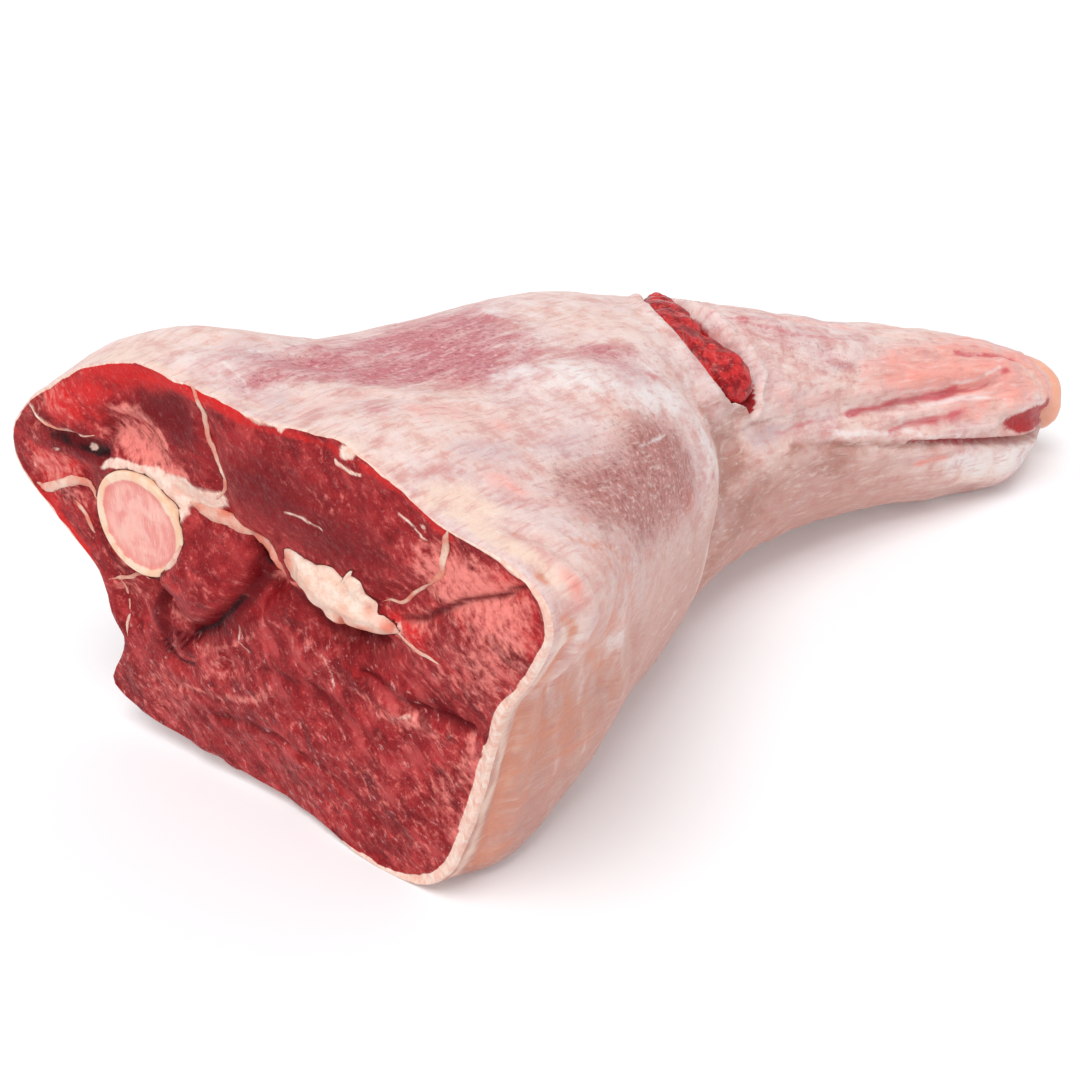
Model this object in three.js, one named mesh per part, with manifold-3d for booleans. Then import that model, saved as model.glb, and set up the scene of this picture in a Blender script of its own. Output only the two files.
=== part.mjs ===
// A raw leg of lamb, cut straight across the thigh and lying on its side: the meat with the fat cover
// on the side of the thigh, the thigh bone and the lump of fat that show in the cut, and the shank
// bone, which shows as a knob at the thin end. Millimetres, +Z up, lowest point at z = 0.
// In the leg's own frame the cut is at x = 0 and the leg runs along +X, turning a little towards -Y.
// A place on the skin is (along, round): millimetres from the cut, and degrees round the section
// from the -Y side, going up. A place in the cut is (across, height), with across running along -Y.
import * as THREE from "three";
import { mergeVertices } from "three/addons/utils/BufferGeometryUtils.js";
import Module from "manifold-3d";

const wasm = await Module();
wasm.setup();

// Sections along the leg: middle of the section, its turn to the side in degrees, how far it reaches
// to the right, left, top and bottom of that middle, and how square it is (2 is an ellipse).
const SECTIONS = [
  { along: 0, x: 0, y: 0, z: 58, turn: 0, right: 84, left: 72, top: 58, bottom: 62, square: 2.8 },
  { along: 25, x: 25, y: 0, z: 58, turn: 0, right: 82, left: 72, top: 57, bottom: 66, square: 2.9 },
  { along: 55, x: 55, y: -1, z: 56, turn: 0, right: 79, left: 68, top: 54, bottom: 65, square: 2.8 },
  { along: 90, x: 90, y: -1, z: 53, turn: 0, right: 68, left: 65, top: 56, bottom: 60, square: 2.5 },
  { along: 130, x: 130, y: -1, z: 50, turn: -4, right: 55, left: 60, top: 55, bottom: 55, square: 2.3 },
  { along: 170, x: 169, y: -4, z: 46, turn: -10, right: 43, left: 53, top: 49, bottom: 46, square: 2.2 },
  { along: 205, x: 203, y: -12, z: 43, turn: -15, right: 36, left: 45, top: 44, bottom: 38, square: 2.2 },
  { along: 245, x: 241, y: -23, z: 38, turn: -16, right: 32, left: 39, top: 36, bottom: 34, square: 2.2 },
  { along: 290, x: 284, y: -37, z: 33, turn: -16, right: 32, left: 33, top: 28, bottom: 36, square: 2.2 },
  { along: 330, x: 322, y: -49, z: 29, turn: -16, right: 29, left: 27, top: 20, bottom: 36, square: 2.2 },
  { along: 352, x: 343, y: -55, z: 26, turn: -16, right: 18, left: 20, top: 14, bottom: 17, square: 2.2 },
];
const LEG_LENGTH = SECTIONS.at(-1).along;
const END_BULGE = 3; // how far the thin end is rounded past its last section

// Outline of the cut as (across, height), going round from the far tip over the top.
const CUT_OUTLINE = [
  [-98, 84], [-90, 96], [-79, 103], [-65, 111], [-46, 118], [-22, 118], [9, 115], [32, 117],
  [51, 110], [68, 103], [84, 100.5], [95, 94], [97, 87], [92, 74], [83, 60], [80, 50],
  [77, 38], [73, 22], [66, 7], [56, -2], [24, 0], [-6, 3], [-38, 6], [-60, 11],
  [-65, 17], [-60, 26], [-64, 38], [-68, 51], [-84, 64], [-95, 73],
];
const CUT_HEIGHT = SECTIONS[0].z; // height of the middle of the cut
const CUT_FADE = 42; // over this length the cut's outline turns into the plain sections

// Swellings (and, with a minus, hollows) of the skin behind the cut: place, spread and height.
const SWELLINGS = [
  { along: 40, over: 32, round: 152, span: 18, rise: 11 }, // rump side
  { along: 28, over: 30, round: 122, span: 18, rise: 4 }, // top of the rump
  { along: 22, over: 22, round: 16, span: 11, rise: 4 }, // fat edge beside the cut
  { along: 150, over: 35, round: 120, span: 22, rise: 3 }, // knee
  { along: 95, over: 26, round: 30, span: 20, rise: 2.5 }, // calf
  { along: 20, over: 36, round: 226, span: 14, rise: -4 }, // under the far side
  { along: 46, over: 30, round: 196, span: 16, rise: 4 }, // far side above that hollow
  { along: 14, over: 22, round: -45, span: 14, rise: 5 }, // corner that it lies on
  { along: 72, over: 30, round: -26, span: 20, rise: -4 }, // side below the fat edge
];
const SWELLING_START = 12; // swellings begin over this length behind the cut

// Grooves and ridges of the skin along a line of places (along, round); a minus depth is a ridge.
const SKIN_LINES = [
  { line: [[143, -30], [146, -18], [153, -3], [159, 10], [158, 25], [147, 43]], wide: 8, deep: 2.6 },
  { line: [[84, 59], [103, 52], [119, 46], [128, 37], [132, 25], [133, 10]], wide: 8, deep: -1.8 },
  { line: [[168, 24], [203, 25], [235, 25], [271, 26], [310, 26]], wide: 7, deep: 2.6 },
  { line: [[192, 78], [224, 70], [271, 63], [316, 50]], wide: 8, deep: -1.6 },
  { line: [[186, 8], [229, -2], [271, -14], [317, -36]], wide: 8, deep: -2 },
  { line: [[14, 136], [20, 116], [37, 104]], wide: 7, deep: 2 },
  { line: [[16, 2], [42, -11], [60, -2]], wide: 8, deep: 1.6 },
];

// The cut face: muscles that stand out of it (rise below zero is a hollow), and seams between them.
const MUSCLES = [
  { across: -21, height: 58, wide: 13, high: 12, rise: 5 }, // round muscle below the bone
  { across: 18, height: 97, wide: 30, high: 12, rise: 2.2 }, // above the long seam
  { across: 14, height: 30, wide: 42, high: 18, rise: 3 }, // large lower muscle
  { across: 74, height: 78, wide: 15, high: 14, rise: 2.2 }, // near the fat edge
  { across: -72, height: 100, wide: 16, high: 8, rise: 2.5 }, // far tip
  { across: -45, height: 97, wide: 14, high: 6, rise: -4 }, // behind the bone's upper edge
  { across: -54, height: 44, wide: 9, high: 10, rise: -3 }, // below the bone
];
const SEAMS = [
  { line: [[-26, 84], [-14, 81], [-3, 81], [3, 80]], wide: 4, deep: 1.4 },
  { line: [[-11, 86], [-13, 96], [-15, 110]], wide: 4, deep: 1.8 },
  { line: [[45, 77], [55, 83], [63, 91], [66, 101]], wide: 4, deep: 1.8 },
  { line: [[-12, 39], [15, 60], [29, 60], [49, 57], [65, 51], [75, 51]], wide: 4.5, deep: 1.8 },
  { line: [[-44, 51], [-25, 43], [-10, 52], [1, 67]], wide: 4.5, deep: 4 },
  { line: [[1, 67], [14, 66], [31, 61], [47, 65]], wide: 4, deep: 3.5 },
  { line: [[-89, 72], [-71, 80], [-62, 72]], wide: 4, deep: 2 },
  { line: [[53, 76], [69, 83], [81, 91], [92, 98]], wide: 4, deep: 1.4 },
];
const RIM_FADE = 9; // the relief of the cut dies out over this distance from its outline
const LEAN = 4; // how far the cut's lower right corner leans forward
const LEAN_DEPTH = 20; // length over which that lean dies out behind the cut
const LEAN_BELOW = 50; // it leans below this height
const LEAN_OVER = 45; // and grows over this distance to the side and down

// Thigh bone, which is nearly as wide at the cut as it ever is: middle, half width and half height.
const THIGH_BONE = [
  { x: -2.2, across: -43, z: 72, wide: 13.5, high: 12 },
  { x: -1.2, across: -43, z: 72, wide: 16, high: 14.5 },
  { x: 3, across: -43, z: 72, wide: 17, high: 15.5 },
  { x: 25, across: -40, z: 70, wide: 14.5, high: 13.5 },
  { x: 60, across: -30, z: 66, wide: 12, high: 12 },
  { x: 105, across: -16, z: 61, wide: 12.5, high: 12 },
  { x: 132, across: -8, z: 58, wide: 14.5, high: 13.5 },
  { x: 142, across: -5, z: 57, wide: 8, high: 8 },
];
const THIGH_BONE_TILT = 12; // degrees that its oval section leans over
const THIGH_BONE_BULGE = 4; // how far its end in the knee is rounded

// Shank bone, from inside the calf to the knob that stands out of the thin end: place along the
// leg, height above the section's middle, shift to the right, and radius.
const SHANK_BONE = [
  { along: 172, up: 0, right: 0, radius: 6 },
  { along: 182, up: 0, right: 0, radius: 10 },
  { along: 205, up: 0, right: 0, radius: 8.5 },
  { along: 290, up: 2, right: 0, radius: 7.5 },
  { along: 330, up: 2, right: 1, radius: 9.5 },
  { along: 345, up: 0, right: 2, radius: 12 },
  { along: 352, up: -2, right: 2.5, radius: 12.4 },
  { along: 357, up: -3.5, right: 3, radius: 14.4 },
  { along: 361, up: -3.5, right: 3, radius: 12.6 },
  { along: 363, up: -3.5, right: 3, radius: 9 },
];
const KNOB_BULGE = 0.86; // how far the knob is rounded past its last row
const BONE_RING_GAP = 20; // rows of a bone further apart than this get a ring between them

// Lump of fat in the long seam: its outline in the cut, and its depths with the share of that size.
const FAT_LUMP_OUTLINE = [
  [3, 79], [10, 81], [17, 83], [24, 83], [31, 80], [38, 76], [46, 75], [53, 74],
  [48, 69], [39, 67], [31, 65], [25, 66], [19, 68], [13, 70], [6, 73],
];
const FAT_LUMP_DEPTHS = [
  { x: -3.6, share: 0.55 },
  { x: -2.6, share: 0.88 },
  { x: 0, share: 1 },
  { x: 14, share: 0.85 },
  { x: 30, share: 0.45 },
];

// Fat cover: the stretch of skin that it reaches over, and its thickness at the cut and at its end.
const FAT_COVER = { along: 112, from: -34, to: 30, atCut: 4.6, atEnd: 2.2 };
const FAT_COVER_RADIUS = 55; // of the slimmest section under it
const FAT_COVER_STEPS = { along: 14, round: 12 };
const BLOCK_REACH = 12; // how far the block that cuts it out stands out of the skin and of the cut

// The short deep slash across the skin behind the knee, as places with its width and depth.
const SLASH = [
  { along: 194, round: 122, wide: 3, deep: 3 },
  { along: 187, round: 106, wide: 9, deep: 8 },
  { along: 180, round: 91, wide: 12, deep: 10 },
  { along: 177, round: 78, wide: 14, deep: 11 },
  { along: 174, round: 67, wide: 15, deep: 11 },
  { along: 173, round: 57, wide: 16, deep: 11 },
  { along: 179, round: 50, wide: 17, deep: 10 },
  { along: 182, round: 43, wide: 14, deep: 8 },
  { along: 183, round: 37, wide: 5, deep: 4 },
];
// The slit that frees the heel tendon from the end of the shank.
const HEEL_SLIT = [
  { along: 262, round: 4, wide: 1.5, deep: 2 },
  { along: 290, round: -4, wide: 3, deep: 6 },
  { along: 318, round: -11, wide: 4, deep: 10 },
  { along: 340, round: -17, wide: 6, deep: 12 },
  { along: 362, round: -22, wide: 9, deep: 12 },
];
// Section of a slash, as shares of half its width and of its depth. It flares above the skin.
const SLASH_SECTION = [[-1, 0], [-0.6, 0.8], [0, 1], [0.6, 0.8], [1, 0]];
const SLASH_FLARE = 1.3;
const SLASH_CLEAR = 8; // how far the wedge that cuts it reaches out of the skin

const GAP = 0.3; // left between pieces that lie against each other
const SAME_POINT = 1e-4; // points nearer to each other than this are one
const ROUND_STEPS = 76; // points round the leg
const RING_STEP = 8.6; // distance between its rings
const CUT_RINGS = 15; // rings from the middle of the cut to its outline
const END_RINGS = 4;
const BONE_STEPS = 18;
const FLOOR_SOFTNESS = 4; // how softly the underside turns into its flat base
const FLOOR_DROP = 1.2;
const FLOOR_REACH = 40; // heights below this one are eased towards the base

// Middle of the whole leg's box in the leg's own frame: the part's origin is below it.
const BOX_MIDDLE_X = 175.06;
const BOX_MIDDLE_Y = 0.84;

const radians = THREE.MathUtils.degToRad;
const smooth = (t) => THREE.MathUtils.smoothstep(t, 0, 1);
const bell = (t) => Math.exp(-t * t);

// Slope at each of some unevenly spaced points, by parabolas through neighbours.
function slopes(places, values) {
  const last = places.length - 1;
  return places.map((place, i) => {
    if (i === 0) return (values[1] - values[0]) / (places[1] - places[0]);
    if (i === last) return (values[last] - values[last - 1]) / (places[last] - places[last - 1]);
    const before = place - places[i - 1];
    const after = places[i + 1] - place;
    const rise = before * before * values[i + 1] - after * after * values[i - 1];
    return (rise + (after * after - before * before) * values[i]) / (before * after * (before + after));
  });
}

// A smooth curve through (place, value) pairs, as a function of the place.
function curveThrough(places, values) {
  const slope = slopes(places, values);
  return (place) => {
    let i = places.findIndex((p) => p > place) - 1;
    if (i < 0) i = place < places[0] ? 0 : places.length - 2;
    const step = places[i + 1] - places[i];
    const t = (place - places[i]) / step;
    const t2 = t * t;
    const t3 = t2 * t;
    return (
      (2 * t3 - 3 * t2 + 1) * values[i] +
      (t3 - 2 * t2 + t) * step * slope[i] +
      (3 * t2 - 2 * t3) * values[i + 1] +
      (t3 - t2) * step * slope[i + 1]
    );
  };
}

// Every size of a table of rows as a curve over one of its columns.
function tableCurves(rows, over) {
  const places = rows.map((row) => row[over]);
  const curves = {};
  for (const key of Object.keys(rows[0])) {
    curves[key] = curveThrough(places, rows.map((row) => row[key]));
  }
  return (place) => Object.fromEntries(Object.entries(curves).map(([key, curve]) => [key, curve(place)]));
}

const section = tableCurves(SECTIONS, "along");
const thighBone = tableCurves(THIGH_BONE, "x");
const shankBone = tableCurves(SHANK_BONE, "along");

// Distance from the section's middle to the cut's outline, as a function of the angle.
const cutRadius = (() => {
  const turns = CUT_OUTLINE.map(([across, height]) => {
    const angle = Math.atan2(height - CUT_HEIGHT, across);
    return [angle < 0 ? angle + 2 * Math.PI : angle, Math.hypot(across, height - CUT_HEIGHT)];
  }).sort((a, b) => a[0] - b[0]);
  const before = turns.slice(-3).map(([angle, radius]) => [angle - 2 * Math.PI, radius]);
  const after = turns.slice(0, 3).map(([angle, radius]) => [angle + 2 * Math.PI, radius]);
  const all = [...before, ...turns, ...after];
  const curve = curveThrough(all.map((p) => p[0]), all.map((p) => p[1]));
  return (angle) => curve(THREE.MathUtils.euclideanModulo(angle, 2 * Math.PI));
})();

function sectionRadius({ right, left, top, bottom, square }, angle) {
  const across = Math.cos(angle);
  const up = Math.sin(angle);
  const width = Math.abs(across) / (across > 0 ? right : left);
  const height = Math.abs(up) / (up > 0 ? top : bottom);
  return (width ** square + height ** square) ** (-1 / square);
}

// Signed difference of two angles in degrees, from -180 to 180.
const turnBetween = (a, b) => THREE.MathUtils.euclideanModulo(a - b + 180, 360) - 180;

function swelling(along, round) {
  let rise = 0;
  for (const s of SWELLINGS) {
    rise += s.rise * bell((along - s.along) / s.over) * bell(turnBetween(round, s.round) / s.span);
  }
  return rise * (1 - bell(along / SWELLING_START));
}

// The underside is eased onto the flat base at z = 0.
function onFloor(z) {
  if (z > FLOOR_REACH) return z;
  const eased = FLOOR_SOFTNESS * Math.log1p(Math.exp(z / FLOOR_SOFTNESS)) - FLOOR_DROP;
  return Math.max(eased, 0);
}

// How far the cut leans forward at a place in it.
const lean = (across, height) =>
  LEAN * smooth(across / LEAN_OVER) * smooth((LEAN_BELOW - height) / LEAN_OVER);

// Point of a section, share of the way from its middle to the smooth skin.
function smoothSkin(along, round, share = 1) {
  const at = section(along);
  const angle = radians(round);
  const cutShare = bell(along / CUT_FADE);
  const plain = sectionRadius(at, angle);
  const fromCut = cutRadius(angle) - sectionRadius(SECTIONS[0], angle);
  const radius = (plain + cutShare * fromCut + swelling(along, round)) * share;
  const across = radius * Math.cos(angle);
  const up = radius * Math.sin(angle);
  const turn = radians(at.turn);
  const forward = lean(across, at.z + up) * bell(along / LEAN_DEPTH);
  return new THREE.Vector3(
    at.x + across * Math.sin(turn) - forward,
    at.y - across * Math.cos(turn),
    onFloor(at.z + up),
  );
}

// Direction out of the skin.
function skinNormal(along, round) {
  const before = smoothSkin(Math.max(along - 1, 0), round);
  const after = smoothSkin(Math.max(along - 1, 0) + 2, round);
  const lower = smoothSkin(along, round - 1);
  const upper = smoothSkin(along, round + 1);
  return after.sub(before).cross(upper.sub(lower)).normalize();
}

// Distance from a point to a line of points, in any number of dimensions.
function distanceToLine(point, line) {
  let nearest = Infinity;
  for (let i = 0; i + 1 < line.length; i++) {
    const along = line[i + 1].clone().sub(line[i]);
    const from = point.clone().sub(line[i]);
    const t = THREE.MathUtils.clamp(from.dot(along) / along.lengthSq(), 0, 1);
    nearest = Math.min(nearest, from.sub(along.multiplyScalar(t)).length());
  }
  return nearest;
}

const skinLines = SKIN_LINES.map(({ line, wide, deep }) => ({
  line: line.map(([along, round]) => smoothSkin(along, round)),
  wide,
  deep,
}));

// The skin with its grooves and ridges.
function skin(along, round) {
  const point = smoothSkin(along, round);
  let depth = 0;
  for (const groove of skinLines) {
    depth += groove.deep * bell(distanceToLine(point, groove.line) / groove.wide);
  }
  const fade = 1 - bell(along / SWELLING_START);
  point.addScaledVector(skinNormal(along, round), -depth * fade);
  point.z = Math.max(point.z, 0);
  return point;
}

const seams = SEAMS.map(({ line, wide, deep }) => ({
  line: line.map(([across, height]) => new THREE.Vector2(across, height)),
  wide,
  deep,
}));

// How far the cut stands back at a place in it, below its flat plane.
function cutDepth(across, height) {
  const place = new THREE.Vector2(across, height);
  let depth = 0;
  for (const m of MUSCLES) {
    const inside = bell((across - m.across) / m.wide) * bell((height - m.height) / m.high);
    depth -= m.rise * inside;
  }
  for (const seam of seams) {
    depth += seam.deep * bell(distanceToLine(place, seam.line) / seam.wide);
  }
  return depth;
}

// Point of the cut, share of the way from its middle to its outline.
function cutPoint(round, share) {
  const rim = cutRadius(radians(round));
  const point = smoothSkin(0, round, share);
  const fade = smooth(((1 - share) * rim) / RIM_FADE);
  point.x += fade * cutDepth(-point.y, point.z);
  return point;
}

// Point of the rounded thin end, share of the way from its middle to its last section.
function endPoint(round, share) {
  const point = skin(LEG_LENGTH, round);
  const middle = smoothSkin(LEG_LENGTH, round, 0);
  const turn = radians(section(LEG_LENGTH).turn);
  const bulge = END_BULGE * Math.sqrt(1 - share * share);
  point.sub(middle).multiplyScalar(share).add(middle);
  point.x += bulge * Math.cos(turn);
  point.y += bulge * Math.sin(turn);
  return point;
}

// A manifold from points and triangles, turned so that its faces point outwards.
function solid(points, triangles) {
  const geometry = new THREE.BufferGeometry().setFromPoints(points);
  geometry.setIndex(triangles.flat());
  const merged = mergeVertices(geometry, SAME_POINT);
  const vertProperties = merged.attributes.position.array;
  const make = (triVerts) =>
    new wasm.Manifold(new wasm.Mesh({ numProp: 3, vertProperties, triVerts }));
  const triVerts = new Uint32Array(merged.index.array);
  const made = make(triVerts);
  return made.volume() < 0 ? make(triVerts.toReversed()) : made;
}

// A closed solid through rings of points, each ring with the same number of points. Each end is
// closed by a fan to the ring's own middle, or to a point that the caller gives.
function loft(rings, startMiddle = middleOf(rings[0]), endMiddle = middleOf(rings.at(-1))) {
  const count = rings[0].length;
  const points = [...rings.flat(), startMiddle, endMiddle];
  const start = points.length - 2;
  const end = points.length - 1;
  const lastRing = (rings.length - 1) * count;
  const triangles = sides(rings.length, count);
  for (let j = 0; j < count; j++) {
    const k = (j + 1) % count;
    triangles.push([start, j, k], [end, lastRing + k, lastRing + j]);
  }
  return solid(points, triangles);
}

// A closed solid through long thin rings that run along one side and back along the other: each end
// is closed by a strip between the two sides.
function loftOfStrips(rings) {
  const count = rings[0].length;
  const lastRing = (rings.length - 1) * count;
  const triangles = sides(rings.length, count);
  for (let j = 0; j + 1 < count / 2; j++) {
    const k = j + 1;
    const [acrossJ, acrossK] = [count - 1 - j, count - 1 - k];
    triangles.push([j, k, acrossK], [j, acrossK, acrossJ]);
    triangles.push([lastRing + k, lastRing + j, lastRing + acrossJ]);
    triangles.push([lastRing + k, lastRing + acrossJ, lastRing + acrossK]);
  }
  return solid(rings.flat(), triangles);
}

// The triangles between rings of points.
function sides(ringCount, count) {
  const triangles = [];
  for (let i = 0; i + 1 < ringCount; i++) {
    for (let j = 0; j < count; j++) {
      const k = (j + 1) % count;
      const near = i * count;
      const far = near + count;
      triangles.push([near + j, far + j, far + k], [near + j, far + k, near + k]);
    }
  }
  return triangles;
}

function middleOf(ring) {
  const sum = ring.reduce((total, point) => total.add(point), new THREE.Vector3());
  return sum.divideScalar(ring.length);
}

// The places round a whole turn, in degrees.
const turns = (count) => Array.from({ length: count }, (_, i) => (i * 360) / count);

// Even steps from one value to another, both included.
function steps(from, to, count) {
  return Array.from({ length: count + 1 }, (_, i) => from + ((to - from) * i) / count);
}

function wholeLeg() {
  const round = turns(ROUND_STEPS);
  const ringCount = Math.round(LEG_LENGTH / RING_STEP);
  const cutRings = steps(1 / CUT_RINGS, 1, CUT_RINGS - 1).slice(0, -1);
  const endRings = steps(1, 1 / END_RINGS, END_RINGS - 1).slice(1);
  const rings = [
    ...cutRings.map((share) => round.map((angle) => cutPoint(angle, share))),
    ...steps(0, LEG_LENGTH, ringCount).map((along) => round.map((angle) => skin(along, angle))),
    ...endRings.map((share) => round.map((angle) => endPoint(angle, share))),
  ];
  return loft(rings, cutPoint(0, 0), endPoint(0, 0));
}

// The places of a bone's rows, with one more between rows that are far apart.
function bonePlaces(places) {
  const between = places.slice(1).flatMap((place, i) => {
    const isFar = place - places[i] > BONE_RING_GAP;
    return isFar ? [(place + places[i]) / 2] : [];
  });
  return [...places, ...between].sort((a, b) => a - b);
}

// Oval rings of the thigh bone, grown outwards by a margin.
function thighBoneSolid(margin) {
  const tilt = radians(THIGH_BONE_TILT);
  const rings = bonePlaces(THIGH_BONE.map((row) => row.x)).map((x) => {
    const at = thighBone(x);
    return turns(BONE_STEPS).map((round) => {
      const wide = (at.wide + margin) * Math.cos(radians(round));
      const high = (at.high + margin) * Math.sin(radians(round));
      const across = at.across + wide * Math.cos(tilt) - high * Math.sin(tilt);
      const up = at.z + wide * Math.sin(tilt) + high * Math.cos(tilt);
      return new THREE.Vector3(x, -across, up);
    });
  });
  const start = middleOf(rings[0]).setX(THIGH_BONE[0].x - margin);
  const end = middleOf(rings.at(-1)).setX(THIGH_BONE.at(-1).x + THIGH_BONE_BULGE + margin);
  return loft(rings, start, end);
}

// Round rings of the shank bone, which follows the leg, grown outwards by a margin.
function shankBoneSolid(margin) {
  const forward = ({ turn }) => new THREE.Vector3(Math.cos(radians(turn)), Math.sin(radians(turn)), 0);
  const rings = bonePlaces(SHANK_BONE.map((row) => row.along)).map((along) => {
    const bone = shankBone(along);
    const at = section(Math.min(along, LEG_LENGTH));
    const past = forward(at).multiplyScalar(Math.max(along - LEG_LENGTH, 0));
    const middle = new THREE.Vector3(at.x, at.y, at.z).add(past);
    const turn = radians(at.turn);
    return turns(BONE_STEPS).map((round) => {
      const across = bone.right + (bone.radius + margin) * Math.cos(radians(round));
      const up = bone.up + (bone.radius + margin) * Math.sin(radians(round));
      const away = new THREE.Vector3(across * Math.sin(turn), -across * Math.cos(turn), up);
      return away.add(middle);
    });
  });
  const bulge = forward(section(LEG_LENGTH)).multiplyScalar(KNOB_BULGE + margin);
  return loft(rings, middleOf(rings[0]), bulge.add(middleOf(rings.at(-1))));
}

// Outline of the fat lump grown by a margin, at each of its depths.
function fatLumpSolid(margin) {
  const outline = FAT_LUMP_OUTLINE.map(([across, height]) => new THREE.Vector3(0, -across, height));
  const middle = middleOf(outline);
  const rings = FAT_LUMP_DEPTHS.map(({ x, share }, i) => {
    const place = i === 0 ? x - margin : x;
    return outline.map((point) => {
      const away = point.clone().sub(middle);
      return away.setLength(away.length() * share + margin).add(middle).setX(place);
    });
  });
  const end = middle.clone().setX(FAT_LUMP_DEPTHS.at(-1).x + margin);
  return loft(rings, middle.clone().setX(FAT_LUMP_DEPTHS[0].x - margin), end);
}

// A block over the fat cover's stretch of skin, from the cover's inner face to well outside the leg.
function fatCoverBlock(margin) {
  const edge = (margin * 180) / (Math.PI * FAT_COVER_RADIUS);
  const alongs = [-BLOCK_REACH, ...steps(0, FAT_COVER.along, FAT_COVER_STEPS.along)];
  if (margin > 0) alongs.push(FAT_COVER.along + margin);
  const rounds = steps(FAT_COVER.from, FAT_COVER.to, FAT_COVER_STEPS.round);
  rounds[0] -= edge;
  rounds[rounds.length - 1] += edge;
  const rings = alongs.map((along) => {
    const place = Math.max(along, 0);
    const share = place / FAT_COVER.along;
    const thick = THREE.MathUtils.lerp(FAT_COVER.atCut, FAT_COVER.atEnd, share) + margin;
    const layer = (depth) =>
      rounds.map((round) => {
        const point = smoothSkin(place, round).addScaledVector(skinNormal(place, round), -depth);
        return along < 0 ? point.setX(along) : point;
      });
    return [...layer(thick), ...layer(-BLOCK_REACH).reverse()];
  });
  return loftOfStrips(rings);
}

// A wedge that cuts a slash into the skin: a ring of its section at each of its places.
function slashBlock(places) {
  const onLeg = (along) => Math.min(along, LEG_LENGTH);
  const middles = places.map(({ along, round }) => {
    const past = along - onLeg(along);
    return smoothSkin(onLeg(along), round).add(new THREE.Vector3(past, 0, 0));
  });
  const rings = places.map((place, i) => {
    const before = middles[Math.max(i - 1, 0)];
    const after = middles[Math.min(i + 1, places.length - 1)];
    const out = skinNormal(onLeg(place.along), place.round);
    const side = after.clone().sub(before).cross(out).normalize();
    const at = (sideways, outward) =>
      middles[i].clone().addScaledVector(side, sideways).addScaledVector(out, outward);
    const half = place.wide / 2;
    return [
      at(-half * SLASH_FLARE, SLASH_CLEAR),
      ...SLASH_SECTION.map(([sideways, down]) => at(half * sideways, -place.deep * down)),
      at(half * SLASH_FLARE, SLASH_CLEAR),
    ];
  });
  return loft(rings);
}

// A mesh with its own material from a finished solid.
function mesh(name, made, color, roughness) {
  const { numProp, vertProperties, triVerts } = made.getMesh();
  const geometry = new THREE.BufferGeometry();
  geometry.setAttribute("position", new THREE.BufferAttribute(vertProperties, numProp));
  geometry.setIndex(new THREE.BufferAttribute(triVerts, 1));
  geometry.computeVertexNormals();
  const shown = new THREE.Mesh(geometry, new THREE.MeshStandardMaterial({ color, roughness, metalness: 0 }));
  shown.name = name;
  return shown;
}

const leg = wholeLeg().subtract(slashBlock(SLASH)).subtract(slashBlock(HEEL_SLIT));
const meat = leg
  .subtract(fatCoverBlock(GAP))
  .subtract(thighBoneSolid(GAP))
  .subtract(shankBoneSolid(GAP))
  .subtract(fatLumpSolid(GAP));
const fatCover = leg.intersect(fatCoverBlock(0));

const part = new THREE.Group();
part.name = "raw_leg_of_lamb";
part.add(mesh("meat", meat, 0xb8424a, 0.45));
part.add(mesh("fat_cover", fatCover, 0xe9cdbf, 0.5));
part.add(mesh("thigh_bone", thighBoneSolid(0), 0xf0cdb4, 0.5));
part.add(mesh("shank_bone", shankBoneSolid(0), 0xefd6c4, 0.4));
part.add(mesh("fat_lump", fatLumpSolid(0), 0xf3d9c8, 0.5));
part.position.set(-BOX_MIDDLE_X, -BOX_MIDDLE_Y, 0);

export default part;
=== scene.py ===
"""The looks of a raw leg of lamb that lies on its side, cut across the thigh.

Lengths are millimetres in the leg's own frame until a mesh is made: the cut is at x = 0 and the leg runs
along +X, turning a little towards -Y. A place on the skin is (along, round): millimetres from the cut, and
degrees round the section from the -Y side, going up. A place in the cut is (across, height), with across
running along -Y.
"""

import math
from itertools import product

import bpy
import numpy as np
from mathutils import Matrix, Vector


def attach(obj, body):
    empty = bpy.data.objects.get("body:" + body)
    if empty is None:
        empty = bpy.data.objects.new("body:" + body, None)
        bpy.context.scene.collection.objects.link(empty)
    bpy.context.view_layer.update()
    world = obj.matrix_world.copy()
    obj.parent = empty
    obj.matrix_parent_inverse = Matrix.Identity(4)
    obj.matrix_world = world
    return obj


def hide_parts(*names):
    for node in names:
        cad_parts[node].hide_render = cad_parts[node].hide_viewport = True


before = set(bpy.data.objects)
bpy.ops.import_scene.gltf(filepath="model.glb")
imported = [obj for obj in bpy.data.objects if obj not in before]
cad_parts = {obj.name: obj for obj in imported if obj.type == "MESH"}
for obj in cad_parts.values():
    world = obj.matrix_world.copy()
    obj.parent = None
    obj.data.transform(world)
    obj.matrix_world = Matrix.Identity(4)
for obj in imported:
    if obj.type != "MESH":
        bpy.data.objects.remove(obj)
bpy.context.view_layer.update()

# Sizes of the solid.
SECTION_NAMES = ("x", "y", "z", "turn", "right", "left", "top", "bottom", "square")
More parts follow.
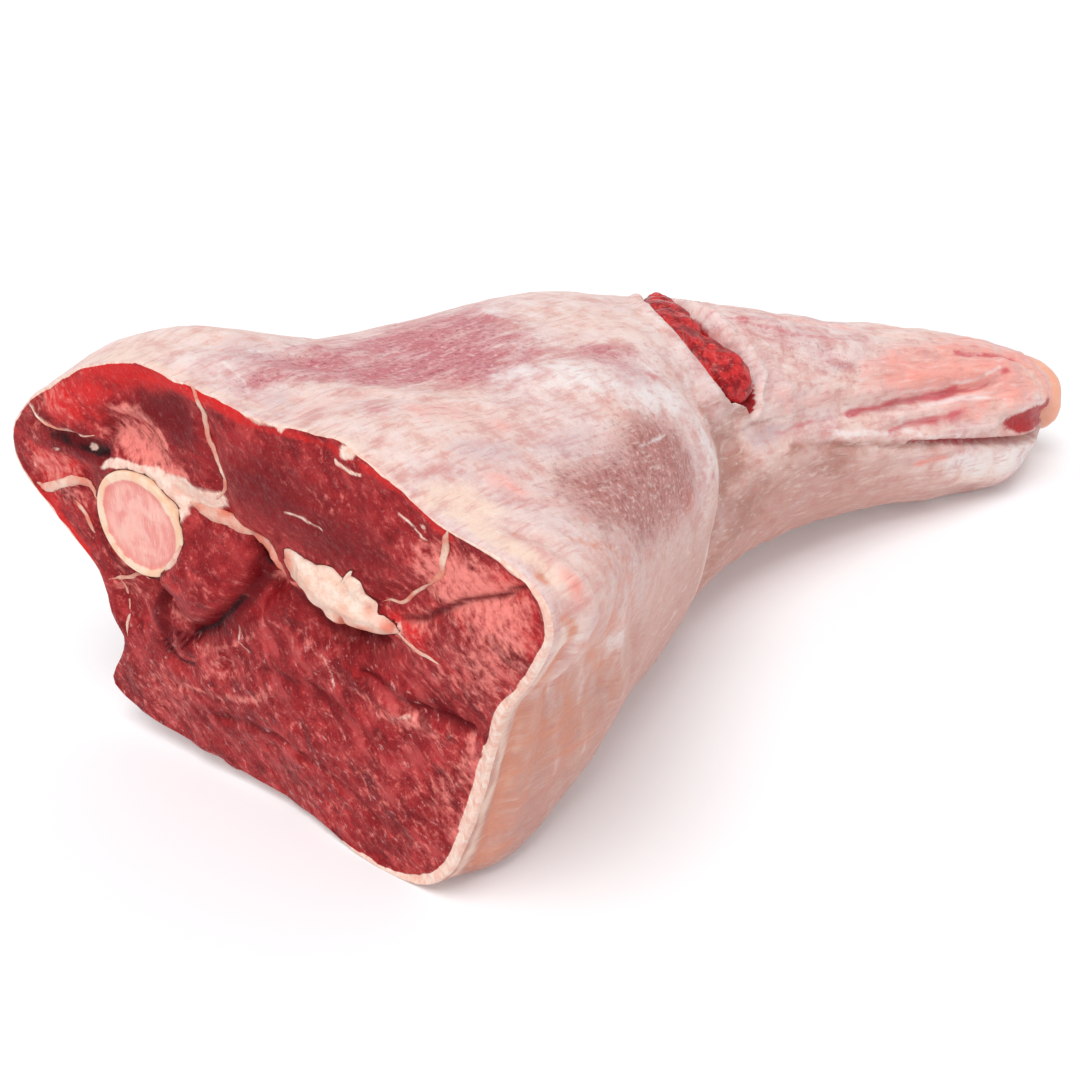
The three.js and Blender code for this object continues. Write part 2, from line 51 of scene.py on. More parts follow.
SECTIONS = {
    0: (0, 0, 58, 0, 84, 72, 58, 62, 2.8),
    25: (25, 0, 58, 0, 82, 72, 57, 66, 2.9),
    55: (55, -1, 56, 0, 79, 68, 54, 65, 2.8),
    90: (90, -1, 53, 0, 68, 65, 56, 60, 2.5),
    130: (130, -1, 50, -4, 55, 60, 55, 55, 2.3),
    170: (169, -4, 46, -10, 43, 53, 49, 46, 2.2),
    205: (203, -12, 43, -15, 36, 45, 44, 38, 2.2),
    245: (241, -23, 38, -16, 32, 39, 36, 34, 2.2),
    290: (284, -37, 33, -16, 32, 33, 28, 36, 2.2),
    330: (322, -49, 29, -16, 29, 27, 20, 36, 2.2),
    352: (343, -55, 26, -16, 18, 20, 14, 17, 2.2),
}
LEG_LENGTH = max(SECTIONS)
END_BULGE = 3
CUT_OUTLINE = (
    (-98, 84), (-90, 96), (-79, 103), (-65, 111), (-46, 118), (-22, 118), (9, 115), (32, 117),
    (51, 110), (68, 103), (84, 100.5), (95, 94), (97, 87), (92, 74), (83, 60), (80, 50),
    (77, 38), (73, 22), (66, 7), (56, -2), (24, 0), (-6, 3), (-38, 6), (-60, 11),
    (-65, 17), (-60, 26), (-64, 38), (-68, 51), (-84, 64), (-95, 73),
)
CUT_HEIGHT = 58
CUT_FADE = 42
# Swellings: along, over, round, span, rise.
SWELLINGS = (
    (40, 32, 152, 18, 11), (28, 30, 122, 18, 4), (22, 22, 16, 11, 4), (150, 35, 120, 22, 3),
    (95, 26, 30, 20, 2.5), (20, 36, 226, 14, -4), (46, 30, 196, 16, 4), (14, 22, -45, 14, 5),
    (72, 30, -26, 20, -4),
)
SWELLING_START = 12
# Broad grooves of the skin, and ridges with a minus: wide, deep, places.
SKIN_LINES = (
    (8, 2.6, ((143, -30), (146, -18), (153, -3), (159, 10), (158, 25), (147, 43))),
    (8, -1.8, ((84, 59), (103, 52), (119, 46), (128, 37), (132, 25), (133, 10))),
    (7, 2.6, ((168, 24), (203, 25), (235, 25), (271, 26), (310, 26))),
    (8, -1.6, ((192, 78), (224, 70), (271, 63), (316, 50))),
    (8, -2, ((186, 8), (229, -2), (271, -14), (317, -36))),
    (7, 2, ((14, 136), (20, 116), (37, 104))),
    (8, 1.6, ((16, 2), (42, -11), (60, -2))),
)
# Muscles of the cut: across, height, wide, high, rise.
MUSCLES = (
    (-21, 58, 13, 12, 5), (18, 97, 30, 12, 2.2), (14, 30, 42, 18, 3), (74, 78, 15, 14, 2.2),
    (-72, 100, 16, 8, 2.5), (-45, 97, 14, 6, -4), (-54, 44, 9, 10, -3),
)
# Seams of the cut: wide, deep, places.
SEAMS = (
    (4, 1.4, ((-26, 84), (-14, 81), (-3, 81), (3, 80))),
    (4, 1.8, ((-11, 86), (-13, 96), (-15, 110))),
    (4, 1.8, ((45, 77), (55, 83), (63, 91), (66, 101))),
    (4.5, 1.8, ((-12, 39), (15, 60), (29, 60), (49, 57), (65, 51), (75, 51))),
    (4.5, 4, ((-44, 51), (-25, 43), (-10, 52), (1, 67))),
    (4, 3.5, ((1, 67), (14, 66), (31, 61), (47, 65))),
    (4, 2, ((-89, 72), (-71, 80), (-62, 72))),
    (4, 1.4, ((53, 76), (69, 83), (81, 91), (92, 98))),
)
RIM_FADE = 9
LEAN = 4
LEAN_DEPTH = 20
LEAN_BELOW = 50
LEAN_OVER = 45
# Thigh bone: x, across, height, half width, half height.
THIGH_BONE = (
    (-2.2, -43, 72, 13.5, 12), (-1.2, -43, 72, 16, 14.5), (3, -43, 72, 17, 15.5), (25, -40, 70, 14.5, 13.5),
    (60, -30, 66, 12, 12), (105, -16, 61, 12.5, 12), (132, -8, 58, 14.5, 13.5), (142, -5, 57, 8, 8),
)
THIGH_BONE_TILT = 12
SAWN_EDGE = 0.6  # rounding of the bone's sawn edge
MARROW_SHARE = 0.89  # of the sawn bone's width
# Shank bone: along, up, right, radius.
SHANK_BONE = (
    (172, 0, 0, 6), (182, 0, 0, 10), (205, 0, 0, 8.5), (290, 2, 0, 7.5), (330, 2, 1, 9.5),
    (345, 0, 2, 12), (352, -2, 2.5, 12.4), (357, -3.5, 3, 14.4), (361, -3.5, 3, 12.6), (363, -3.5, 3, 9),
)
# Slash behind the knee and slit beside the heel tendon: along, round, wide, deep.
SLASH = (
    (194, 122, 3, 3), (187, 106, 9, 8), (180, 91, 12, 10), (177, 78, 14, 11), (174, 67, 15, 11),
    (173, 57, 16, 11), (179, 50, 17, 10), (182, 43, 14, 8), (183, 37, 5, 4),
)
HEEL_SLIT = ((262, 4, 1.5, 2), (290, -4, 3, 6), (318, -11, 4, 10), (340, -17, 6, 12), (362, -22, 9, 12))
WEDGE_EDGE = 1.15  # where a slash ends, as a share of half its width
SLASH_STEEPNESS = 0.6  # the share that its flat bottom takes
SLIT_STEEPNESS = 0.3
SLASH_GAPE = 1.35  # how much wider the slash gapes than its cut
FLOOR_SOFTNESS = 4
FLOOR_DROP = 1.2
FLOOR_REACH = 40
# How far the cut's outline wanders: place round it, and the most it wanders there.
RIM_WANDER = (
    (-180, 1.2), (-150, 1.6), (-135, 1.7), (-110, 1.5), (-80, 1.2), (-62, 0.5), (-40, 0.5), (0, 0.4),
    (26, 0.5), (60, 0.9), (100, 0.8), (140, 0.6), (180, 1.2),
)
RIM_WANDER_DEPTH = 6
RIM_RADIUS = 70  # of the circle on which its noise is measured
RIM_NOISE = (13, 3, 141)  # size of the lumps, layers, seed
RIM_SHRINK = 0.4  # how much further it wanders in than out
BOX_MIDDLE = (175.06, 0.84, 0)  # middle of the leg's box, which is the part's origin

# The photo's camera: where it looks from, and where it shows the floor below the middle of the cut.
CAMERA_AZIMUTH = -52
CAMERA_ELEVATION = 27
PHOTO_PIXELS = 1080
FOCAL_PIXELS = 1835
CUT_FOOT_PIXEL = (275, 800)
CUT_FOOT_DISTANCE = 504

# How fine the leg's mesh is.
ROUND_STEPS = 288
SEEN_ROUND = 50  # degrees: the points round the leg are closest here
SEEN_CROWDING = 0.4
FACE_RINGS = 100
RIM_ROUNDING = 1.0
FLAT_EDGE = 1.5  # roundings between the rim and the last flat ring of the cut
RIM_TURNS = (0, 12, 24, 35)  # degrees: rings of the cut's rounded edge, which the skin takes on at 45
# Distance between rings of the skin from each place on.
RING_STEPS = ((0.29, 0.45), (3, 1.0), (14, 2.0), (150, 1.2), (200, 2.4), (300, 1.7), (352, None))
END_RINGS = 14

# Relief of the cut that is finer than the solid's, and ridges with a minus: wide, deep, places.
FACE_FOLDS = (
    (2.9, 8, ((-0.5, 77), (1.5, 75), (4.5, 72.4))),  # hole beside the fat lump
    (1.7, 2.6, ((13, 70), (18, 66.5), (24, 63.5), (32, 62), (40, 64.5))),
    (1.8, 2.6, ((-84, 91), (-73, 89.5), (-66, 89), (-59, 89.5), (-57, 86))),
    (1.3, -1.0, ((-86, 95), (-81, 93.5), (-73, 92), (-66, 92.5), (-61, 93.5))),
    (1.2, 1.2, ((48, 73), (56, 75.5), (62, 80), (67, 84), (75, 88), (83, 92.5), (89, 96))),
    (1.3, 1.8, ((36, 54), (43, 51.5), (48, 50), (56, 49.5), (63, 50), (70, 49.5))),
    (1.5, -0.9, ((33, 53), (40, 50), (47, 47.5), (56, 46.5), (64, 46))),
    (1.8, 2.2, ((-1, 74), (-4, 64), (-13, 55), (-23, 46), (-29, 41), (-37, 40), (-41, 46), (-38, 57))),
    (2.2, 2.0, ((-39, 36), (-33, 32), (-27, 33))),
    (1.4, -1.0, ((-88, 69), (-79, 74), (-72, 76), (-66, 75), (-62, 73), (-60, 69))),
    (1.1, -0.7, ((-66, 47), (-59, 48), (-50, 52), (-42, 56.5))),
    (0.9, -0.5, ((-60, 47), (-60, 40), (-60, 31))),
    (5.0, 1.6, ((-46, 109), (-33, 111), (-24, 108))),
    (2.0, 1.8, ((-63, 66), (-60, 60), (-55, 56), (-48, 53.5))),
    (2.6, -1.2, ((-51, 104), (-43, 105.5), (-37, 103), (-33, 99), (-27, 96))),
    (1.6, 1.6, ((-57, 99), (-54, 95), (-56, 88))),
    (1.2, 1.0, ((-22, 20), (2, 24), (24, 21), (44, 13))),
    (1.3, 0.9, ((-46, 22), (-30, 25), (-16, 22))),
    (1.2, 0.8, ((0, 42), (16, 44), (30, 41), (48, 34))),
)
# Fat edge of the cut: place round the rim, and width there.
RIM_FAT = (
    (-180, 1.3), (-165, 0.6), (-150, 0.1), (-100, 0.1), (-78, 0.5), (-64, 1.6), (-50, 3.2), (-38, 4.0),
    (-26, 3.4), (-15, 3.6), (-6, 3.0), (5, 3.3), (14, 2.7), (21, 2.4), (26, 1.8), (34, 0.9),
    (46, 0.7), (60, 0.5), (90, 0.5), (110, 0.7), (127, 0.7), (141, 0.9), (157, 1.1), (171, 1.4), (180, 1.3),
)
COLLAR_RISE = 1.5  # how far the meat stands up round the bone
COLLAR_MIDDLE = 1.06  # of the bone's width
COLLAR_WIDTH = 0.16
LIP_PROUD = 1.3  # how far the thick fat edge stands out of the cut
LIP_WIDTH = 2.2
LIP_MIDDLE = 0.6  # from the rim
LIP_ROUNDING = 0.9
THIN_FAT = 0.8  # width of the fat edge where there is no lip, and where it is full
THICK_FAT = 2.4
FIBRE_SLANT = -38  # degrees: how the fibres of the cut run

# Patches of colour in the cut: across, height, reach across and up, strength.
FACE_PATCHES = {
    # Darker meat, and painted shade in the seams, in hollows and under the round muscle.
    "dark_meat_and_shade": (
        (6, 97, 26, 13, 0.75), (34, 90, 18, 10, 0.6), (-33, 108, 13, 6, 1.0), (-24, 104, 7, 8, 0.8),
        (-70, 86, 13, 3.5, 0.9), (-62, 78, 4, 10, 0.7), (-57, 89, 4, 4, 0.7), (62, 52, 10, 3, 0.8),
        (-36, 35, 8, 5, 0.8), (20, 76, 16, 4, 0.3), (60, 22, 10, 12, 0.5), (-8, 26, 14, 10, 0.45),
        (24, 44, 14, 5, 0.4), (-52, 34, 6, 10, 0.35), (-14, 49, 12, 5, 0.6), (72, 60, 9, 4, 0.45),
        (40, 59, 12, 3, 0.4),
    ),
    "bright_meat_and_highlight": (
        (-72, 100, 14, 6, 1.0), (-60, 107, 11, 5, 0.9), (-44, 114, 18, 4, 0.95), (-36, 93, 12, 4, 0.5),
        (-84, 78, 9, 8, 0.8), (-80, 68, 9, 3, 0.8), (-74, 79, 7, 6, 0.6), (90, 84, 5, 14, 0.6),
        (82, 94, 9, 4, 0.7), (-48, 38, 6, 12, 0.45), (12, 18, 18, 8, 0.4), (50, 73, 12, 3.5, 0.8),
        # (-28, 62) is a painted highlight on the dome of the round muscle.
        (62, 66, 14, 6, 0.45), (27, 8, 14, 5, 0.45), (-28, 62, 9, 10, 0.4), (68, 81, 10, 4, 0.6),
        (34, 55, 16, 3, 0.5), (-64, 60, 5, 8, 0.5),
    ),
    "pink_meat_and_highlight": (
        (-42, 104, 9, 3, 0.7), (-48, 95, 9, 5, 1.0), (-38, 92, 10, 5, 1.0), (-44, 97, 9, 4, 0.8),
        (-72, 102, 12, 6, 0.45), (-30, 90, 6, 3, 0.9), (46, 69, 8, 3, 0.9), (54, 75, 8, 3, 0.7),
        (62, 92, 9, 6, 0.85), (74, 91, 13, 7, 1.0), (66, 85, 9, 6, 0.8), (80, 88, 8, 6, 0.8),
        (84, 82, 8, 9, 0.8), (76, 72, 12, 9, 0.65), (66, 62, 14, 7, 0.4), (44, 27, 18, 12, 0.35),
        (-20, 36, 14, 6, 0.4), (-74, 72, 9, 4, 0.6), (52, 46, 13, 3, 0.8), (-56, 58, 5, 10, 0.6),
        # (-20, 62) is a painted highlight on the dome of the round muscle.
        (-44, 16, 16, 6, 0.4), (-20, 62, 7, 6, 0.3), (70, 40, 4, 6, 0.6), (64, 30, 6, 10, 0.5),
        (58, 12, 8, 7, 0.4), (20, 9, 22, 6, 0.3), (2, 34, 20, 6, 0.3), (-84, 77, 8, 5, 0.8),
        (-76, 80, 6, 4, 0.6), (-87, 88, 4, 5, 0.5), (-80, 98, 8, 3, 0.4), (-40, 25, 12, 6, 0.4),
        (-52, 46, 8, 3, 0.6), (26, 101, 16, 3, 0.35),
    ),
    "fat": (
        (-42, 88, 9, 1.6, 0.9), (-34, 87, 8, 2.6, 1.0), (-25, 86, 7, 4.2, 1.1), (-16, 87, 4.5, 3.6, 1.1),
        (-27, 80, 3.5, 4, 0.9), (34, 115, 2.6, 1.8, 1.0), (13, 113.5, 1.8, 2, 0.9), (6, 114, 8, 1, 0.7),
        (-63, 89, 2, 1.3, 1.0), (-78, 85, 1.6, 1, 0.9), (48, 71, 3, 2, 0.5), (58, 101, 1.6, 1.2, 0.6),
        (50, 46.5, 4, 1, 0.6),
    ),
    # Painted shade: near-black in the hole beside the fat lump, beside the bone and in the crease near the
    # tip.
    "deep": ((1.8, 74.8, 4, 3.6, 1.4), (-61, 61, 3, 4, 0.4), (-58, 88, 4, 2.4, 0.8)),
}
# Lines of colour in the cut: half width, strength, places.
FACE_STROKES = {
    "fat": (
        (1.3, 0.9, ((-58, 84), (-55, 86.5), (-48, 88.2), (-40, 88.6))),
        (0.8, 0.6, ((-87, 95.5), (-81, 93.5), (-73, 92), (-66, 92.5))),
        (0.6, 0.6, ((26, 92), (20, 93.5), (14, 93))),
        (0.7, 0.75, ((31, 111.5), (35, 110), (39, 110))),
        (0.6, 0.6, ((50, 103), (55, 100), (59, 98))),
        (0.7, 0.5, ((-11, 51), (-10, 47), (-6, 44.5))),
        (0.6, 0.5, ((-88, 79), (-89, 75), (-86, 72.5))),
        (0.7, 0.5, ((22, 54), (25, 51), (27, 47))),
        # The next stroke is pale fat on the ridge above the bone, partly a painted highlight on its top.
        (0.7, 0.4, ((-50, 103.5), (-44, 105), (-38, 103.5), (-33, 99.5))),
        (0.8, 0.4, ((-64, 22), (-54, 22), (-45, 23), (-38, 20))),
    ),
    # Painted shade along the seams and grooves of the cut.
    "dark_meat_and_shade": (
        (2.6, 1.0, ((-1, 73), (-4, 64), (-13, 54), (-23, 46), (-29, 41), (-37, 39), (-42, 44), (-40, 55))),
        (1.9, 0.9, ((10, 68), (16, 64), (24, 61), (34, 62), (42, 65))),
        (1.7, 0.9, ((36, 55), (43, 53), (50, 51.5), (60, 51), (70, 50.5))),
        (1.3, 0.8, ((49, 74), (56, 76), (62, 80), (67, 84), (75, 88), (83, 92.5), (88, 96))),
        (2.4, 0.9, ((-82, 91), (-73, 89), (-66, 88.5), (-59, 89.5), (-57, 85))),
        (1.6, 0.6, ((-22, 20), (2, 24), (24, 21), (44, 13))),
        (1.4, 0.5, ((-46, 21), (-30, 24), (-16, 21))),
        (1.6, 0.5, ((0, 42), (16, 44), (30, 41), (48, 34))),
        (1.8, 0.7, ((-57, 98), (-54, 95), (-56, 88))),
        (1.4, 0.8, ((-62, 74), (-64, 68), (-63, 60), (-58, 55), (-52, 52))),
    ),
    # Painted shade: near-black along the deepest grooves of the cut.
    "deep": (
        (1.9, 1.0, ((-1, 77), (1.5, 75), (4, 72.5), (7, 71))),
        (1.1, 0.9, ((14, 69), (18, 66), (24, 63), (32, 62), (39, 64.5))),
        (1.1, 0.7, ((-8, 60), (-14, 53.5), (-23, 45.5), (-29, 41))),
        (1.4, 0.8, ((-79, 89), (-70, 87.5), (-60, 87.5))),
        (1.0, 0.5, ((48, 51.5), (56, 50.8), (66, 50.8))),
        (1.0, 0.6, ((-63, 65), (-60, 60), (-55, 56), (-50, 54))),
        (0.8, 0.4, ((58, 77.5), (63, 81), (68, 85))),
        (1.2, 0.7, ((-40, 36), (-34, 32), (-28, 33))),
    ),
    "bright_meat_and_highlight": (
        (2.6, 0.9, ((-60, 112), (-46, 116), (-22, 116), (-4, 114))),
        (1.7, 0.7, ((-4, 114), (9, 113), (22, 114), (34, 113.5), (51, 108), (66, 101))),
        (2.0, 0.9, ((-88, 66), (-77, 61), (-70, 56), (-67, 50))),
        (1.6, 0.5, ((-8, 82), (-14, 84), (-20, 83))),
    ),
    "pink_meat_and_highlight": (
        (1.6, 0.8, ((70, 48), (73, 40), (72, 30), (67, 20))),
        (1.5, 1.0, ((-2, 67), (5, 68.6), (14, 70))),
        # The next stroke is pale pink on the ridge above the bone, partly a painted highlight on its top.
        (1.5, 0.9, ((-51, 103.5), (-45, 105), (-37, 103), (-31, 98.5))),
        (1.3, 0.7, ((-22, 50), (-31, 45), (-38, 46), (-37, 54))),
        (1.2, 0.6, ((-24, 39), (-14, 44), (-4, 50))),
        (1.2, 0.6, ((-34, 24), (-20, 27), (-6, 31), (4, 38))),
        (1.1, 0.5, ((8, 58), (20, 54), (32, 49), (42, 47))),
        (1.0, 0.5, ((-20, 110), (-24, 100), (-26, 92))),
    ),
}

# Patches of colour on the skin: along, round, reach along, span round, strength.
SKIN_PATCHES = {
    "rose": (
        (80, 90, 24, 17, 1.0), (60, 84, 20, 13, 0.9), (97, 98, 14, 14, 0.9), (36, 98, 22, 10, 0.8),
        (78, 110, 26, 12, 0.8), (50, 108, 22, 8, 0.6), (113, 60, 12, 7, 0.6), (18, 101, 12, 7, 0.7),
        (76, 73, 18, 9, 0.6), (44, 88, 18, 12, 0.7), (107, 64, 10, 6, 0.5), (115, 56, 12, 6, 0.45),
        (130, 62, 14, 6, 0.3), (205, 76, 20, 9, 0.5), (222, 92, 26, 8, 0.4), (238, 53, 14, 6, 0.6),
        (218, 62, 24, 10, 0.45), (255, 100, 24, 10, 0.35), (20, 67, 12, 6, 0.35), (100, 130, 40, 18, 0.4),
        (62, 168, 34, 14, 0.7), (120, 190, 30, 18, 0.6), (60, 214, 28, 15, 0.6), (190, 160, 36, 20, 0.45),
        (120, 250, 40, 24, 0.5), (250, 200, 30, 24, 0.4), (200, -60, 26, 20, 0.3),
    ),
    "brown": (
        (84, 30, 26, 10, 1.0), (104, 28, 16, 12, 0.8), (56, 29, 22, 8, 0.85), (74, 22, 24, 8, 0.8),
        (90, 18, 20, 8, 0.6), (94, 38, 10, 6, 0.7), (44, 26, 8, 5, 0.6), (112, 24, 10, 7, 0.5),
        (70, 150, 26, 14, 0.4), (150, 220, 24, 18, 0.5),
    ),
    "lavender": (
        (30, 46, 16, 8, 0.6), (56, 42, 18, 6, 0.6), (110, 50, 18, 8, 0.6), (24, 26, 12, 7, 0.35),
        (10, 88, 10, 8, 0.6), (28, 112, 14, 8, 0.6), (190, 20, 22, 7, 0.8), (160, -6, 14, 10, 0.6),
        (172, 48, 8, 10, 0.5), (234, 52, 12, 6, 0.5), (205, -18, 30, 10, 0.4), (108, 86, 8, 12, 0.4),
        (190, 110, 30, 14, 0.4), (150, 90, 16, 14, 0.35), (60, 8, 16, 8, 0.35), (90, 200, 40, 20, 0.5),
    ),
    "sinew_and_glint": (
        (84, 62, 12, 7, 0.8), (92, 53, 9, 7, 0.9), (100, 45, 12, 5, 0.8), (118, 43, 12, 5, 0.8),
        (134, 30, 6, 10, 0.9), (146, 26, 8, 10, 0.6), (140, 15, 6, 9, 0.7), (72, 50, 12, 6, 0.5),
        (44, 3, 6, 5, 0.7), (46, -2, 6, 6, 0.6), (120, 100, 20, 14, 0.5), (135, 84, 18, 10, 0.3),
        (12, 122, 8, 9, 0.5), (60, 118, 20, 6, 0.3), (306, -25, 24, 12, 1.0), (326, -29, 14, 11, 1.0),
        (288, -18, 16, 8, 0.9), (292, 22, 14, 4, 0.7), (316, 44, 8, 7, 0.5), (330, 14, 5, 6, 0.7),
        (30, 180, 14, 12, 0.5), (90, 230, 22, 10, 0.5), (160, 190, 20, 10, 0.4),
    ),
    "warm": (
        (33, 62, 14, 6, 0.6), (44, 54, 12, 5, 0.6), (25, 36, 10, 6, 0.65), (106, 18, 12, 7, 0.8),
        (90, 14, 12, 6, 0.5), (8, 22, 5, 4, 0.7), (30, 76, 12, 4, 0.5), (200, 40, 14, 10, 0.5),
        (12, 78, 12, 5, 0.5), (270, 42, 26, 12, 0.85), (300, 60, 34, 14, 0.8), (320, 86, 30, 16, 0.8),
        (230, 92, 30, 12, 0.45), (300, 36, 34, 18, 0.9), (330, 50, 22, 20, 0.95), (272, -11, 8, 3.4, 0.9),
        (286, 12, 24, 8, 0.7), (345, 30, 8, 60, 0.8), (262, 52, 24, 10, 0.6), (224, 36, 24, 8, 0.5),
        (5, 112, 6, 10, 0.4), (320, 20, 20, 14, 0.8), (60, -20, 24, 14, 0.35), (250, 84, 40, 12, 0.4),
        (156, 40, 10, 8, 0.5), (180, 240, 40, 30, 0.4),
    ),
    "cream": (
        (9, 36, 8, 7, 0.9), (4, 60, 4, 14, 0.4), (5, 30, 3, 8, 0.9), (12, 12, 12, 8, 0.4),
        (34, -30, 26, 14, 0.4), (20, 60, 12, 6, 0.3), (8, 132, 12, 12, 0.7), (300, -28, 24, 14, 0.8),
        (340, 30, 14, 30, 0.5), (250, -20, 40, 12, 0.4), (2, 100, 2.5, 60, 0.6), (60, 54, 14, 5, 0.3),
        (2, -20, 2.5, 50, 0.8), (8, -14, 2.6, 24, 0.6), (40, 195, 24, 14, 0.5), (20, 250, 24, 20, 0.4),
        (336, 26, 9, 16, 0.7), (60, 140, 30, 12, 0.4),
    ),
    # Painted shade: brownish darkening on the neck, the low near side and the shank's underside.
    "painted_shade": (
        (160, 24, 12, 18, 0.5), (184, -6, 20, 12, 0.5), (222, -4, 30, 8, 0.4), (76, 8, 14, 6, 0.3),
        (152, 10, 8, 16, 0.6), (176, 34, 8, 8, 0.6), (162, 14, 12, 14, 0.9), (168, 34, 9, 10, 0.6),
        (172, -10, 18, 14, 0.7), (233, 4, 26, 8, 0.6), (210, 12, 22, 10, 0.4), (96, -20, 30, 14, 0.4),
        (150, -24, 22, 12, 0.5), (210, -30, 40, 14, 0.35), (260, -6, 20, 5, 0.4), (66, 46, 14, 6, 0.3),
        (120, 14, 14, 10, 0.35),
    ),
    # Painted shade, warm orange, in the folds behind the thick fat edge.
    "warm_fold_shade": (
        (18, 12, 10, 6, 0.5), (30, 24, 12, 5, 0.4), (50, 4, 16, 5, 0.4), (24, -12, 10, 6, 0.5),
        (40, -18, 12, 6, 0.5), (10, -30, 8, 10, 0.6), (32, -6, 14, 12, 0.4), (60, 16, 16, 6, 0.4),
        (14, -6, 5, 14, 0.6), (4, 12, 3, 8, 0.4), (26, -20, 10, 10, 0.4), (38, 14, 10, 6, 0.4),
        (8, -16, 5, 16, 0.6),
    ),
    "magenta": (
        (268, 11, 8, 3, 0.8), (284, 11, 7, 3.4, 1.0), (326, 51, 10, 4, 0.7), (143, 62, 3, 2.5, 0.5),
        (278, 27, 14, 3, 0.6), (300, 31, 10, 3, 0.5), (47, 55, 5, 3, 0.5), (20, 67, 5, 3, 0.4),
        (316, 33, 4, 3, 1.0), (120, 51, 7, 3, 0.5),
    ),
    # Painted shade: tan streaks in the drapes on the low near side.
    "drape_shade": ((30, -4, 30, 24, 0.7), (70, 8, 20, 12, 0.4)),
    "raw": (
        (93, 33, 4, 2.2, 0.45), (321, -1, 13, 6.5, 1.1), (332, 1, 11, 7, 1.1), (343, -2, 10, 12, 1.0),
        (191, 104, 4, 4, 0.4), (196, 116, 5, 4, 0.8),
    ),
}
# Lines of colour on the skin: half width, strength, places.
SKIN_STROKES = {
    "sinew_and_glint": (
        (5.5, 0.8, ((70, 66), (84, 60), (92, 51), (102, 45), (119, 42), (128, 37), (133, 27))),
        (4.0, 0.7, ((133, 27), (141, 20), (146, 12), (144, 3), (138, -8), (132, -20))),
        (1.0, 0.8, ((112, 112), (110, 103), (106, 91), (102, 80), (92, 70))),
        # The next two strokes are painted glints: beside the pink streak, and along the ridge of the flap on
        # top.
        (0.9, 1.0, ((123, 54.5), (126, 48))),
        (1.0, 0.8, ((18, 119), (25, 114), (34, 112), (48, 117), (70, 129))),
        (0.9, 0.7, ((14, 110), (12, 103), (8, 96))),
        (1.4, 0.8, ((222, 17), (243, 11), (262, 7), (285, 2))),
        (0.9, 0.8, ((247, 90), (253, 80), (254, 70), (253, 60), (258, 50))),
        (0.8, 0.7, ((254, 70), (262, 62), (272, 56))),
        (0.7, 0.8, ((84, 34), (89, 35.5), (94, 34), (97, 31), (103, 34))),
        (1.6, 0.7, ((161, 84), (159, 66), (158, 58), (164, 48), (176, 35))),
        (1.2, 0.5, ((195, 54), (198, 47), (190, 35))),
        (1.3, 0.5, ((20, 8), (31, 2), (37, -11), (40, -22))),
        (1.2, 0.5, ((9, 14), (17, 6), (25, -8), (28, -22))),
        (0.9, 0.6, ((205, 98), (240, 95), (280, 84), (330, 80))),
        (1.1, 0.6, ((205, 84), (236, 80), (270, 72))),
        (0.8, 0.8, ((262, 32), (280, 34), (300, 35), (314, 39))),
        (0.8, 0.8, ((258, 20), (276, 22), (296, 23), (312, 17))),
        (0.9, 0.7, ((240, 14), (262, 15), (280, 17))),
        (0.9, 0.5, ((232, 40), (250, 44), (268, 47), (290, 46))),
    ),
    # Painted shade along the folds behind the thick fat edge.
    "warm_fold_shade": (
        (1.7, 1.0, ((4, 24), (6, 18), (7, 8), (7, -2), (7, -12), (7.5, -24), (6.5, -36))),
        (1.3, 0.8, ((11, 30), (16, 20), (19, 8), (20, -4), (21, -16))),
        (1.2, 0.7, ((22, 26), (34, 14), (42, 2), (46, -10))),
        (1.2, 0.7, ((34, 22), (50, 10), (60, -2), (64, -12))),
        (1.4, 0.6, ((4, 18), (19, 6), (30, -6), (35, -15))),
        (1.3, 0.5, ((20, 12), (44, -6), (53, -16))),
        (1.4, 0.5, ((5, 58), (7, 50), (4, 42))),
        (1.2, 0.6, ((14, -8), (16, -16), (15, -28))),
    ),
    # Painted shade along the skin's grooves and creases.
    "painted_shade": (
        (2.4, 0.5, ((143, -28), (147, -16), (154, -3), (160, 10), (159, 25), (150, 42))),
        (1.2, 0.7, ((200, 14), (217, 11), (243, 5), (275, -1))),
        (1.3, 0.5, ((139, 83), (148, 84), (160, 82))),
        (1.2, 0.6, ((172, 26), (188, 28), (204, 28))),
    ),
    "magenta": (
        (1.2, 0.6, ((116, 61), (124, 58.5), (128, 53), (135, 44))),
        (1.3, 0.6, ((196, 20), (215, 22), (228, 24), (238, 24))),
        (1.7, 1.0, ((236, 23), (246, 26), (254, 24.5), (262, 28), (268, 26))),
        (2.3, 1.0, ((268, 26), (274, 29), (282, 27), (290, 30))),
        (1.2, 0.8, ((290, 30), (299, 28.5), (308, 31))),
        (0.9, 0.8, ((284, -3), (301, -6), (322, -9))),
        (1.4, 0.9, ((296, 54), (312, 52), (334, 51))),
        (1.3, 0.5, ((205, 88), (226, 84), (250, 83))),
        (1.3, 0.6, ((186, 80), (204, 72), (226, 66), (244, 64))),
        (1.0, 0.5, ((260, 98), (290, 90), (330, 84))),
        (1.4, 0.4, ((26, 78), (30, 74), (27, 67), (35, 63), (40, 60), (50, 55))),
        (0.8, 0.5, ((256, 60), (262, 50), (272, 44))),
        (1.0, 0.5, ((262, 74), (290, 68), (320, 66))),
        (1.2, 0.7, ((252, 9), (264, 12), (276, 11))),
    ),
}
FOLD_FADE = 3  # from the rim along the skin
RELIEF_FADE = 6
